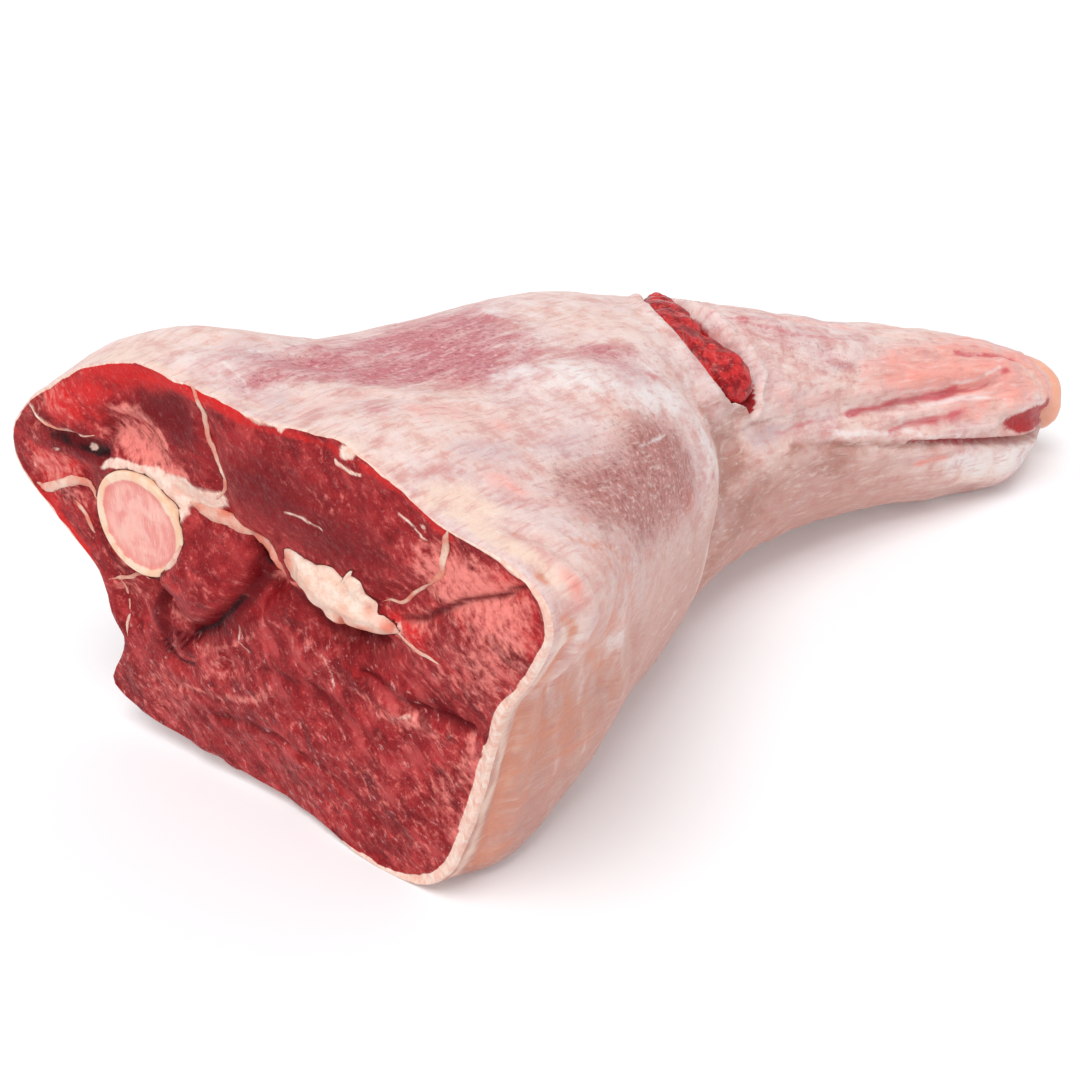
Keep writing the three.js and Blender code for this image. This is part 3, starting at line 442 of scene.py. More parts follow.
# Finer grooves of the skin, and ridges with a minus: wide, deep, places.
SKIN_FOLDS = (
    (2.8, 1.3, ((7, 24), (7, 12), (7.5, 2), (7.5, -10), (8, -22), (7, -36))),
    (3.0, -1.1, ((10, 26), (12.5, 16), (13, 4), (13, -12), (13, -30))),
    (2.2, 0.9, ((11, 30), (16, 20), (19, 8), (20, -4), (21, -16))),
    (2.4, 1.0, ((22, 26), (34, 14), (42, 2), (46, -10))),
    (2.4, 0.9, ((34, 22), (50, 10), (60, -2), (64, -12))),
    (2.6, -0.7, ((28, 22), (40, 10), (50, -2), (54, -12))),
    (2.4, 0.8, ((4, 18), (19, 6), (30, -6), (35, -15))),
    (2.4, -0.6, ((9, 14), (20, 6), (29, -6), (32, -18))),
    (2.6, 0.7, ((20, 12), (44, -6), (53, -16))),
    (2.6, -0.5, ((25, 14), (48, -3), (57, -14))),
    (1.6, 0.8, ((14, 136), (20, 117), (31, 111), (44, 115), (70, 130))),
    (1.6, -0.7, ((17, 128), (23, 113), (34, 108.5), (48, 112))),
    (1.5, 0.5, ((200, 21), (215, 22), (238, 24))),
    (1.9, 1.8, ((238, 24), (250, 25), (262, 28), (274, 27.5), (290, 30), (310, 31))),
    (2.4, -1.3, ((236, 35), (262, 37), (290, 38), (312, 40))),
    (2.2, -1.1, ((222, 17), (243, 11), (262, 7), (285, 3), (304, 4))),
    (1.5, 1.1, ((217, 10), (243, 4), (262, 0), (278, -2))),
    (2.0, 1.3, ((262, 14), (276, 12), (292, 10))),
    (1.8, -1.1, ((256, 19), (276, 21), (296, 22), (314, 16))),
    (1.6, 0.6, ((139, 83), (148, 84), (160, 82))),
    (1.4, 0.6, ((256, 77), (254, 63), (260, 49))),
    (1.5, 0.8, ((262, 74), (290, 68), (320, 66))),
    (1.3, 0.7, ((86, 33), (93, 34), (102, 32))),
    (2.0, -0.6, ((112, 112), (110, 103), (106, 91), (102, 80), (92, 70))),
    (2.2, 0.5, ((26, 78), (30, 72), (40, 60), (50, 54))),
    (2.4, -0.5, ((30, 82), (36, 72), (46, 62), (56, 57))),
    (3.0, 0.7, ((200, 150), (240, 150), (300, 140))),
    (3.0, 0.8, ((150, 190), (200, 190), (260, 190), (310, 190))),
    (4.0, 1.0, ((30, 200), (70, 190), (110, 205))),
    (2.4, -0.9, ((200, 75), (226, 66), (262, 60), (300, 58))),
    (1.8, 0.9, ((196, 88), (226, 86), (262, 80), (300, 76))),
    (3.0, 2.2, ((310, 6), (322, 0), (334, -2), (350, -6))),
    (2.0, 1.2, ((300, 53), (316, 51), (334, 50))),
    (2.2, -1.0, ((318, 42), (330, 34), (334, 20))),
)
SLASH_LIP = 1.2  # how far the slash's edges stand up
SLASH_LIP_MIDDLE = 1.35  # shares of half its width
SLASH_LIP_WIDTH = 0.3

# Lump of fat in the cut: its outline, folds (wide, deep, places) and orange stains, which are partly its own
# tone and partly painted shade along its lower edge and in its folds (across, height, reach across and up,
# strength), and its distance behind the cut with the share of the outline's size there.
LUMP_OUTLINE = (
    (17, 81.2), (22, 80.5), (27.9, 81.6), (31.9, 79.6), (34.6, 82), (36.8, 86), (38, 81), (39, 77.8),
    (42.5, 75.8), (44.6, 73), (49.6, 70), (43, 66.6), (36, 65.6), (31.4, 66.6), (27.9, 63.8), (23, 65),
    (18.8, 67.7), (15.4, 70.6), (11, 72.4), (9.4, 75), (8.4, 78), (9, 81.4), (13, 82.2),
)
LUMP_MIDDLE = (27.5, 73)
LUMP_FOLDS = (
    (1.6, 0.8, ((17.5, 81), (19.5, 77), (18, 72))),
    (1.5, 0.8, ((32, 80), (34, 77), (37, 74.5), (42, 74))),
    (1.4, 0.8, ((23, 68), (29, 70), (35, 69.5), (40, 69.5))),
    (1.1, 1.2, ((31.2, 65.5), (31.2, 67), (30.8, 68.6))),
    (2.2, -0.8, ((20, 77), (25, 73.5), (30, 72.5), (36, 71))),
    (1.0, 0.6, ((43, 76), (42.5, 72), (41, 69))),
)
LUMP_SHADE_STAINS = (
    (31.2, 67.4, 2, 3, 1.0), (21, 67.5, 5, 2.6, 0.9), (38, 67.6, 6, 2.0, 0.9), (11.5, 77.5, 4, 6, 0.9),
    (46, 71, 3.4, 3, 0.9), (27, 65.4, 6, 2, 1.0), (40, 74, 2.4, 3.4, 0.7), (17.5, 70.5, 3.4, 3, 0.8),
    (33, 78, 1.6, 4, 0.5),
)
LUMP_BEHIND = ((0, 1.0), (12, 0.9), (30, 0.45))
LUMP_PROUD = 3.0
SHEET_PROUD = 0.5  # the lump's lower, pinkish part on the left
SHEET_END = 13  # across: where that part ends
SHEET_FADE = 6
LUMP_SUNK = 0.6  # how far the lump's edge lies below the cut
LUMP_UNEVEN = ((0.35, (1, 1, 1), 6, 2, 151),)
LUMP_EDGE = (0.2, 0.08)  # share of the radius in which the bumps and the dome end
LUMP_ROUND_STEPS = 150
LUMP_RINGS = 30
LUMP_BACK_RINGS = 13

# Membranes that stand out of the cut: half width, places.
MEMBRANES = (
    (1.0, (
        (-20, 118.6), (-17.5, 116.5), (-16.1, 113), (-16.2, 109), (-15.8, 105.5), (-14, 101.5), (-12, 98),
        (-10.2, 95.5), (-11.2, 91), (-14.5, 87),
    )),
    (2.0, ((-25, 83), (-20, 82), (-16.5, 82), (-10.8, 81.5), (-5.6, 80.8), (-1, 81))),
    (1.7, ((-3, 81.2), (0.5, 80.4), (3.9, 78.8), (6.4, 77.2), (8.3, 74.3), (9, 71.6))),
    (0.5, ((43, 76.4), (45.5, 77.6), (48.4, 77.7), (53.1, 82), (59.5, 87.3))),
    (1.05, ((58.5, 86.2), (62.4, 91), (63.1, 95.6), (64.1, 100), (65.5, 103))),
    (0.5, ((47.4, 70), (53.1, 68.4), (57.7, 67.2), (62.2, 66.6))),
    (1.3, ((-90.5, 69.8), (-84, 70.5), (-77.5, 73.6), (-70.5, 76.2), (-65.7, 75.8), (-61, 72))),
    (0.7, ((-61.5, 48.4), (-58.7, 49.4), (-54, 51), (-50.2, 52.9), (-43.6, 54.4))),
    (0.6, ((-57.5, 49), (-57, 44), (-56.5, 38), (-56, 32))),
    (1.0, ((-26.1, 72), (-27, 69), (-28.2, 66.4), (-33.4, 61.3))),
    (0.8, ((-72, 70), (-68, 66.5), (-65, 62))),
    (0.6, ((-85.5, 95.6), (-80.6, 92.9), (-74.3, 91.6), (-67.1, 91.4), (-60, 93))),
)
MEMBRANE_PROUD = 0.15
MEMBRANE_THICKNESS = 0.22  # of its half width
MEMBRANE_UNEVEN = 0.3
MEMBRANE_NOISE = (5, 3, 110)  # size of the lumps, layers, first seed
MEMBRANE_STAIN = 0.7
STAIN_UNEVEN = ((0.4, (1, 1, 1), 4, 2, 118),)
MEMBRANE_TIP = 0.2  # share of the width at its ends
MEMBRANE_TAPER = 4  # times the width that each share of its length adds there
MEMBRANE_STEP = 0.8
MEMBRANE_SIDES = 10

# Red lobes in the slash: along, round, depth of the middle, reach along the leg, round it and out.
SLASH_LOBES = (
    (196, 121, 0.6, 3, 3, 4.2), (193, 116, 1.4, 3.4, 5, 3.4), (190, 110, 2.4, 5, 6, 3.4),
    (184, 98, 3.8, 7, 9, 4.2), (178, 84, 4.6, 8, 10, 4.8), (173, 71, 5.6, 7, 9, 4.8),
    (181, 64, 5.6, 6, 8, 4.6), (180, 50, 2.8, 8, 9, 5.0), (173, 58, 6, 5, 9, 4.6),
)
LOBE_MESH = 0.5  # edge of the mesh that joins them
LOBE_SMOOTHING = 10
LOBE_RINGS = 29
LOBE_SIDES = 44
# How uneven a lobe is: share, size of the lumps, layers, first seed.
LOBE_SWELL = (0.16, 0.9, 2, 120)
LOBE_BUMPS = (0.03, 4, 2, 160)

# Noise by which folds, patches and strokes wander: how far, size of its lumps, layers, seeds.
FACE_FOLD_DRIFT = (1.2, 7, 1, (3, 4, 5))
SKIN_FOLD_DRIFT = (1.5, 11, 1, (6, 7, 8))
FACE_PATCH_DRIFT = (1.6, 9, 2, (61, 62))
SKIN_PATCH_DRIFT = (4.0, 22, 3, (81, 82))
SKIN_STROKE_DRIFT = (0.7, 6, 1, (83, 84, 85))
FACE_STROKE_SHARE = 0.35  # of the patches' drift, for the strokes of the cut

# Uneven relief: height, stretch of the places, size of its lumps, layers, seed.
FACE_LUMPS = ((0.6, (1, 1, 1), 13, 2, 11), (0.36, (1, 1.3, 1), 4.2, 3, 21))
SLASH_LUMPS = ((0.6, (1, 1, 1), 7, 2, 171), (0.25, (1, 0.4, 1), 2.6, 2, 175))
MARROW_LUMPS = ((0.18, (1, 1.6, 0.6), 2.4, 2, 91),)
KNOB_LUMPS = ((0.035, (1, 1, 1), 6, 2, 95),)  # height as a share of the radius
# Uneven relief of the skin: height, how much higher it is on the shank or in the drapes, size of its lumps,
# layers, seed.
BROAD_LUMPS = (0.45, 0, 26, 2, 31)
SMALL_LUMPS = (0.2, 0.4, 7, 3, 41)
STREAKS = (0.12, 0.3, 3.4, 2, 51)
DRAPES = (0, 0.3, 3.6, 2, 54)
SHANK_START = 160
SHANK_FADE = 60
SHANK_STRETCH = 0.55  # how far the small lumps are drawn out along the shank
ALONG_LEG = (0.12, 1, 1)  # stretches of the noise
DOWN_SIDE = (1, 0.14, 0.14)
# Where the skin hangs in drapes behind the thick edge of fat: along, over, round, span.
DRAPED = (34, 32, -4, 24)

MASKS = (*FACE_PATCHES, *SKIN_PATCHES, "lower", "side")
# Where the marks of the cut and the skin start and fade.
FINE_FADE = 2.5  # from the rim into the cut
FAT_EDGE_FADE = 0.7
# How uneven the fat edge is, as a share of its width and in millimetres: size of the lumps, seed.
FAT_SHARE = 0.3
FAT_SHARE_NOISE = (9, 71)
FAT_RISE = 0.35
FAT_RISE_NOISE = (3, 72)
LOWER_TOP = 64  # height where the streaky lower part of the cut starts, at the middle
LOWER_SLOPE = 0.3
LOWER_FADE = 16
UNDERSIDE_SHADE = (-34, 52)  # painted shade on the underside, which faces the floor: round, span
PALE_SHANK = (225, 50, 0.35)  # where its shade lessens: along, fade, by how much
TENDON_CLEAR = 0.8  # how much of its shade the white places keep off
RAW_EDGE = 1.02  # where the raw meat of the slash ends, as a share of half its width
RAW_FADE = 0.2
SLIT_FADE = 0.5
SLIT_STRENGTH = 0.8
FACE_STROKE_STEP = 3  # length of the straight pieces of a stroke
SKIN_STROKE_STEP = 8
SOCKET_GAP = 0.05  # between the leg's mesh and the bones and lump in it

# Bones: points round them, rings along them, and how uneven their outlines are.
THIGH_BONE_SIDES = 96
THIGH_BONE_RINGS = 36
SAWN_RINGS = 28
SAWN_TURN = (0, 0.1, 0.3, 0.6, 1)  # rings of the sawn edge, as shares of its rounding
SAWN_FLAT = 3  # its outline stays the same from here to the cut
BONE_WAVES = ((0.02, 2, 0.6), (0.015, 3, 0))  # share of the radius, waves round it, start
MARROW_SUNK = 0.35
MARROW_FADE = 0.06
MARROW_EDGE = 0.04  # where its colour ends, before the rim of bone
BLUNT_END = (4, 0, 0)
SHANK_BONE_SIDES = 64
SHANK_BONE_RINGS = 50
KNOB_START = 332
KNOB_GAP = 2
KNOB_RINGS = 26
KNOB_BULGE = 1.5
KNOB_CORE = 2.0  # marks the shank bone, whose knob is a deeper peach

# How far red, green and blue light spreads under the surface, in shares of the material's own depth.
MEAT_RADIUS = (1.0, 0.25, 0.18)
FAT_RADIUS = (1.0, 0.55, 0.4)

SKY_BRIGHTNESS = 0.64
KEY_STRENGTH = 1.8
KEY_SOFTNESS = 40  # degrees across
FLOOR_GLOW = 0.12  # keeps the floor white where the leg dims it a little
KEY_FROM = (-0.5, -0.15, 1.2)
FLOOR_HALF = 6  # metres
SENSOR_WIDTH = 36
CAMERA_REACH = (0.01, 50)  # metres


def smooth(t):
    t = np.clip(t, 0, 1)
    return t * t * (3 - 2 * t)


def bell(t):
    return np.exp(-t * t)


def curve_through(places, values):
    """A smooth curve through points: cubic pieces whose slopes come from parabolas through neighbours."""
    places = np.asarray(places, float)
    values = np.asarray(values, float)
    slope = np.gradient(values, places)

    def at(place):
        i = np.clip(np.searchsorted(places, place, side="right") - 1, 0, len(places) - 2)
        step = places[i + 1] - places[i]
        t = (place - places[i]) / step
        t2 = t * t
        t3 = t2 * t
        start = (2 * t3 - 3 * t2 + 1) * values[i] + (t3 - 2 * t2 + t) * step * slope[i]
        return start + (3 * t2 - 2 * t3) * values[i + 1] + (t3 - t2) * step * slope[i + 1]

    return at


def smooth_path(points, spacing):
    """Points at even steps along a smooth curve through a few points."""
    points = np.asarray(points, float)
    reach = np.concatenate([[0], np.cumsum(np.linalg.norm(np.diff(points, axis=0), axis=1))])
    count = max(int(reach[-1] / spacing), 2)
    steps = np.linspace(0, reach[-1], count + 1)
    return np.stack([curve_through(reach, column)(steps) for column in points.T], axis=1)


section = {
    name: curve_through(list(SECTIONS), [row[i] for row in SECTIONS.values()])
    for i, name in enumerate(SECTION_NAMES)
}
cut_section = dict(zip(SECTION_NAMES, SECTIONS[0]))


def outline_turns(outline, middle):
    """Angles of an outline's points round its middle, in order, and their distances from it."""
    away = np.asarray(outline, float) - middle
    angles = np.mod(np.arctan2(away[:, 1], away[:, 0]), math.tau)
    order = np.argsort(angles)
    return angles[order], np.linalg.norm(away, axis=1)[order]


def outline_radius(outline, middle):
    """Distance from the middle to a closed outline, as a function of the angle."""
    angles, radii = outline_turns(outline, middle)
    angles = np.concatenate([angles[-3:] - math.tau, angles, angles[:3] + math.tau])
    curve = curve_through(angles, np.concatenate([radii[-3:], radii, radii[:3]]))
    return lambda angle: curve(np.mod(angle, math.tau))


cut_radius = outline_radius(CUT_OUTLINE, (0, CUT_HEIGHT))


def section_radius(at, angle):
    across = np.cos(angle)
    up = np.sin(angle)
    width = np.abs(across) / np.where(across > 0, at["right"], at["left"])
    height = np.abs(up) / np.where(up > 0, at["top"], at["bottom"])
    return (width ** at["square"] + height ** at["square"]) ** (-1 / at["square"])


def turn_between(a, b):
    return np.mod(a - b + 180, 360) - 180


def swelling(along, round_):
    rise = 0
    for middle, over, toward, span, height in SWELLINGS:
        rise = rise + height * bell((along - middle) / over) * bell(turn_between(round_, toward) / span)
    return rise * (1 - bell(along / SWELLING_START))


def on_floor(z):
    eased = FLOOR_SOFTNESS * np.log1p(np.exp(np.minimum(z, FLOOR_REACH) / FLOOR_SOFTNESS)) - FLOOR_DROP
    return np.where(z > FLOOR_REACH, z, np.maximum(eased, 0))


def rim_wander(round_):
    """How far the cut's outline wanders out of the solid's smooth one: most where its meat is ragged."""
    angle = np.radians(round_)
    places = RIM_RADIUS * np.stack([np.cos(angle), np.sin(angle), 0 * angle], axis=-1)
    most = np.interp(turn_between(round_, 0), *np.array(RIM_WANDER, float).T)
    return most * (layered_noise(places, *RIM_NOISE) - RIM_SHRINK)


def sections_at(along):
    return {name: curve(along) for name, curve in section.items()}


def skin_radius(along, round_):
    """Distance of the plain skin from the middle of its section."""
    angle = np.radians(round_)
    from_cut = cut_radius(angle) - section_radius(cut_section, angle)
    radius = section_radius(sections_at(along), angle) + bell(along / CUT_FADE) * from_cut
    return radius + swelling(along, round_) + rim_wander(round_) * bell(along / RIM_WANDER_DEPTH)


def smooth_skin(along, round_, share=1.0):
    """Points of the plain skin, or of a section's inside with a share below 1."""
    along, round_, share = np.broadcast_arrays(np.asarray(along, float), round_, share)
    at = sections_at(along)
    angle = np.radians(round_)
    radius = skin_radius(along, round_) * share
    across = radius * np.cos(angle)
    up = radius * np.sin(angle)
    turn = np.radians(at["turn"])
    lean = LEAN * smooth(across / LEAN_OVER) * smooth((LEAN_BELOW - at["z"] - up) / LEAN_OVER)
    x = at["x"] + across * np.sin(turn) - lean * bell(along / LEAN_DEPTH)
    return np.stack([x, at["y"] - across * np.cos(turn), on_floor(at["z"] + up)], axis=-1)


def skin_normal(along, round_):
    start = np.maximum(np.asarray(along, float) - 1, 0)
    forward = smooth_skin(start + 2, round_) - smooth_skin(start, round_)
    upward = smooth_skin(along, round_ + 1) - smooth_skin(along, round_ - 1)
    normal = np.cross(forward, upward)
    return normal / np.linalg.norm(normal, axis=-1, keepdims=True)


def along_line(points, line):
    """Distance of each point to a line, and how far along the line its nearest point is, in points."""
    nearest = np.full(points.shape[:-1], np.inf)
    place = np.zeros(points.shape[:-1])
    for i, (start, end) in enumerate(zip(line[:-1], line[1:])):
        step = end - start
        t = np.clip((points - start) @ step / (step @ step), 0, 1)
        distance = np.linalg.norm(points - start - t[..., None] * step, axis=-1)
        closer = distance < nearest
        nearest = np.where(closer, distance, nearest)
        place = np.where(closer, i + t, place)
    return nearest, place


def grooved(depth, points, rows, trace):
    """A depth with grooves added to it, whose lines the given function makes from their places."""
    for wide, deep, line in rows:
        depth = depth + deep * bell(along_line(points, trace(line))[0] / wide)
    return depth


def face_line(places):
    return np.asarray(places, float)


def skin_line(places):
    places = np.asarray(places, float)
    return smooth_skin(places[:, 0], places[:, 1])


def value_noise(points, size, seed=0):
    """Smooth noise from -1 to 1 with lumps of about the given size."""
    place = points / size
    cell = np.floor(place).astype(np.int64)
    part = place - cell
    part = part * part * (3 - 2 * part)
    total = np.zeros(points.shape[:-1])
    for corner in product((0, 1), repeat=3):
        x, y, z = np.moveaxis(cell + corner, -1, 0)
        mixed = (x * 73856093) ^ (y * 19349663) ^ (z * 83492791) ^ (seed * 2654435761)
        mixed = ((mixed ^ (mixed >> 13)) * 1274126177) & 0xFFFFFFFF
        mixed = (mixed ^ (mixed >> 15)) & 0xFFFF
        weight = np.prod(np.where(corner, part, 1 - part), axis=-1)
        total += weight * (mixed / 32767.5 - 1)
    return total


def layered_noise(points, size, layers=3, seed=0):
    total = 0
    for layer in range(layers):
        total = total + value_noise(points, size / 2**layer, seed + layer) / 2**layer
    return total


def to_metres(points):
    return (np.asarray(points) - BOX_MIDDLE) / 1000


def add_mesh(name, points, faces, material, smooth_faces=True):
    """A piece from points in the leg's frame and faces, turned so that the faces point outwards."""
    corners = to_metres(points)
    mesh = bpy.data.meshes.new(name)
    mesh.from_pydata(corners.tolist(), [], faces)
    mesh.update()
    if signed_volume(corners, faces) < 0:
        mesh.flip_normals()
    mesh.materials.append(material)
    mesh.polygons.foreach_set("use_smooth", [smooth_faces] * len(mesh.polygons))
    piece = bpy.data.objects.new(name, mesh)
    bpy.context.scene.collection.objects.link(piece)
    return piece


def signed_volume(corners, faces):
    total = 0
    for size in (3, 4):
        picked = np.array([face for face in faces if len(face) == size])
        for second in range(1, size - 1) if len(picked) else ():
            a, b, c = (corners[picked[:, k]] for k in (0, second, second + 1))
            total += np.einsum("ij,ij->i", a, np.cross(b, c)).sum()
    return total


def grid_faces(ring_count, count, first=0):
    faces = []
    for i in range(ring_count - 1):
        near = first + i * count
        far = near + count
        faces += [(near + j, far + j, far + (j + 1) % count, near + (j + 1) % count) for j in range(count)]
    return faces


def closed_faces(ring_count, count):
    """Faces of a closed body through rings, with its two end points after the rings."""
    start = ring_count * count
    last = start - count
    faces = grid_faces(ring_count, count)
    faces += [(start, j, (j + 1) % count) for j in range(count)]
    faces += [(start + 1, last + (j + 1) % count, last + j) for j in range(count)]
    return faces


def closed_points(rings, start=None, end=None):
    start = rings[0].mean(axis=0) if start is None else start
    end = rings[-1].mean(axis=0) if end is None else end
    return np.concatenate([rings.reshape(-1, 3), [start], [end]])


def set_attribute(mesh, name, values):
    kind = "FLOAT_VECTOR" if values.ndim == 2 else "FLOAT"
    attribute = mesh.attributes.new(name, kind, "POINT")
    attribute.data.foreach_set("vector" if values.ndim == 2 else "value", values.astype(np.float32).ravel())


def drift(points, most, size, layers, seeds):
    """How far noise moves each point."""
    return most * np.stack([layered_noise(points, size, layers, seed) for seed in seeds], axis=-1)


def lumps(points, rows):
    return sum(rise * layered_noise(points * stretch, *noise) for rise, stretch, *noise in rows)


def face_depth(across, height, edge):
    """How far the cut stands back at its places, below its flat plane."""
    places = np.stack([across, height], axis=-1)
    depth = 0
    for middle, up, wide, high, rise in MUSCLES:
        depth = depth - rise * bell((across - middle) / wide) * bell((height - up) / high)
    depth = grooved(depth, places, SEAMS, face_line)
    flat = np.concatenate([places, np.zeros_like(places[..., :1])], axis=-1)
    wander = flat + drift(flat, *FACE_FOLD_DRIFT)
    fine = grooved(lumps(flat, FACE_LUMPS), wander[..., :2], FACE_FOLDS, face_line)
    return smooth(edge / RIM_FADE) * depth + smooth(edge / FINE_FADE) * (fine - bone_collar(across, height))


def bone_collar(across, height):
    """How far the meat stands up round the sawn bone."""
    middle, up, wide, high = THIGH_BONE[2][1:]
    tilt = math.radians(THIGH_BONE_TILT)
    side = (across - middle) * math.cos(tilt) + (height - up) * math.sin(tilt)
    rise = (height - up) * math.cos(tilt) - (across - middle) * math.sin(tilt)
    return COLLAR_RISE * bell((np.hypot(side / wide, rise / high) - COLLAR_MIDDLE) / COLLAR_WIDTH)


def rim_fat(round_):
    places, widths = np.array(RIM_FAT, float).T
    return np.interp(turn_between(round_, 0), places, widths)


def lip_share(round_):
    """1 where the fat edge of the cut is thick, 0 where it is thin."""
    return smooth((rim_fat(round_) - THIN_FAT) / (THICK_FAT - THIN_FAT))


def face_points(round_, share):
    """Points of the cut's relief, and their places and distances from the rim."""
    plane = smooth_skin(0, round_, share)
    across, height = -plane[..., 1], plane[..., 2]
    edge = (1 - share) * cut_radius(np.radians(round_))
    points = plane.copy()
    points[..., 0] += face_depth(across, height, edge)
    lip = lip_share(round_) * bell(np.maximum(edge - LIP_MIDDLE, 0) / LIP_WIDTH)
    points[..., 0] -= LIP_PROUD * lip * smooth(edge / LIP_ROUNDING)
    corner = np.clip(RIM_ROUNDING - edge, 0, RIM_ROUNDING)
    points[..., 0] += RIM_ROUNDING - np.sqrt(RIM_ROUNDING**2 - corner**2)
    return points, across, height, edge


def wedge(points, rows, steepness):
    """Depth of a slash at the points, and how far they are from its middle, as a share of half its width."""
    rows = np.asarray(rows, float)
    distance, place = along_line(points, skin_line(rows[:, :2]))
    steps = np.arange(len(rows))
    half = np.interp(place, steps, rows[:, 2]) / 2
    deep = np.interp(place, steps, rows[:, 3])
    ratio = distance / half
    return deep * (1 - smooth((ratio - steepness) / (WEDGE_EDGE - steepness))), ratio


def skin_points(along, round_):
    """Points of the skin with its grooves, folds and slashes, and how far they are from the two slashes."""
    points = smooth_skin(along, round_)
    wander = points + drift(points, *SKIN_FOLD_DRIFT)
    broad = grooved(0, points, SKIN_LINES, skin_line)
    fine = grooved(0, wander, SKIN_FOLDS, skin_line)
    depth = broad * (1 - bell(along / SWELLING_START)) + fine * smooth(along / FOLD_FADE)
    depth = depth + smooth(along / RELIEF_FADE) * skin_relief(along, round_, points)
    slash, slash_ratio = wedge(wander, SLASH * np.array((1, 1, SLASH_GAPE, 1)), SLASH_STEEPNESS)
    slit, slit_ratio = wedge(points, HEEL_SLIT, SLIT_STEEPNESS)
    depth = depth + slash + slit
    depth = depth - SLASH_LIP * bell((slash_ratio - SLASH_LIP_MIDDLE) / SLASH_LIP_WIDTH)
    inset = np.clip(RIM_ROUNDING - along, 0, RIM_ROUNDING)
    depth = depth + RIM_ROUNDING - np.sqrt(RIM_ROUNDING**2 - inset**2)
    points = points - depth[..., None] * skin_normal(along, round_)
    points[..., 2] = np.maximum(points[..., 2], 0)
    return points, slash_ratio, slit_ratio


def skin_relief(along, round_, points):
    """Depth of the skin's uneven lumps and streaks, which are coarser on the shank."""
    shank = smooth((along - SHANK_START) / SHANK_FADE)
    middle, over, toward, span = DRAPED
    draped = bell((along - middle) / over) * bell(turn_between(round_, toward) / span)
    grain = grain_places(along, round_)
    longer = 1 - SHANK_STRETCH * shank[..., None] * (1, 0, 0)
    rows = (
        (points, shank, BROAD_LUMPS), (points * longer, shank, SMALL_LUMPS),
        (grain * ALONG_LEG, shank, STREAKS), (grain * DOWN_SIDE, draped, DRAPES),
    )
    return sum(
        (low + more * where) * layered_noise(places, *noise)
        for places, where, (low, more, *noise) in rows
    )


def grain_places(along, round_):
    """Coordinates that run along the leg and across it, for streaks."""
    angle = np.radians(round_)
    radius = skin_radius(along, round_)
    return across_grain(along, radius * np.cos(angle), radius * np.sin(angle))


def across_grain(along, across, up):
    """Coordinates along the leg, along the slanting fibres of the cut, and across them."""
    slant = math.radians(FIBRE_SLANT)
    fibre = across * math.cos(slant) + up * math.sin(slant)
    side = up * math.cos(slant) - across * math.sin(slant)
    return np.stack(np.broadcast_arrays(along, fibre, side), axis=-1)


def together(shares):
    """Strength of several overlapping patches."""
    left = 1
    for share in shares:
        left = left * (1 - np.clip(share, 0, 1))
    return 1 - left


def marks(patches, strokes, patch_share, line_distance):
    """Strength of each named mark of colour: its patches and its strokes together."""
    masks = {}
    for name, rows in patches.items():
        shares = [row[-1] * patch_share(*row[:-1]) for row in rows]
        for half, strength, line in strokes.get(name, ()):
            shares.append(strength * bell(line_distance(line) / half))
        masks[name] = together(shares)
    return masks


def face_masks(across, height, edge, round_):
    flat = np.stack([across, height, 0 * across], axis=-1)
    shift = drift(flat, *FACE_PATCH_DRIFT)
    places = flat[..., :2] + shift
    slight = flat[..., :2] + FACE_STROKE_SHARE * shift

    def patch_share(x, z, reach, high):
        return bell((places[..., 0] - x) / reach) * bell((places[..., 1] - z) / high)

    def line_distance(line):
        return along_line(slight, smooth_path(line, FACE_STROKE_STEP))[0]

    masks = marks(FACE_PATCHES, FACE_STROKES, patch_share, line_distance)
    width = rim_fat(round_) * (1 + FAT_SHARE * value_noise(flat, *FAT_SHARE_NOISE))
    width = width + FAT_RISE * value_noise(flat, *FAT_RISE_NOISE)
    masks["fat"] = np.maximum(masks["fat"], smooth((width - edge) / FAT_EDGE_FADE + 0.5))
    masks["lower"] = smooth((LOWER_TOP - height + LOWER_SLOPE * across) / LOWER_FADE)
    return masks


def skin_masks(along, round_, slash_ratio, slit_ratio):
    points = smooth_skin(along, round_)
    shift = drift(points, *SKIN_PATCH_DRIFT)
    warped_along = along + shift[..., 0]
    warped_round = round_ + shift[..., 1]
    wander = points + drift(points, *SKIN_STROKE_DRIFT)

    def patch_share(x, toward, reach, span):
        return bell((warped_along - x) / reach) * bell(turn_between(warped_round, toward) / span)

    def line_distance(line):
        return along_line(wander, skin_line(smooth_path(line, SKIN_STROKE_STEP)))[0]

    masks = marks(SKIN_PATCHES, SKIN_STROKES, patch_share, line_distance)
    masks["raw"] = np.maximum(masks["raw"], smooth((RAW_EDGE - slash_ratio) / RAW_FADE))
    slit = smooth((1 - slit_ratio) / SLIT_FADE)
    masks["magenta"] = np.maximum(masks["magenta"], SLIT_STRENGTH * slit)
    # The side mask is painted shade on the underside and the low near side, lighter on the shank and kept
    # off the white tendons.
    toward, span = UNDERSIDE_SHADE
    start, fade, paler = PALE_SHANK
    underside_shade = bell(turn_between(warped_round, toward) / span) * (1 - TENDON_CLEAR * masks["sinew_and_glint"])
    masks["side"] = underside_shade * (1 - paler * smooth((along - start) / fade))
    return masks


def round_turns(count):
    return np.arange(count) * math.tau / count


def rounds_of_leg():
    """Places round the leg in degrees, closest together on the side that shows."""
    even = round_turns(ROUND_STEPS)
    return np.degrees(even - SEEN_CROWDING * np.sin(even - math.radians(SEEN_ROUND)))


def rings_of_leg():
    alongs = []
    for (start, step), (end, _) in zip(RING_STEPS[:-1], RING_STEPS[1:]):
        alongs += list(np.linspace(start, end, round((end - start) / step), endpoint=False))
    return np.array(alongs + [RING_STEPS[-1][0]])


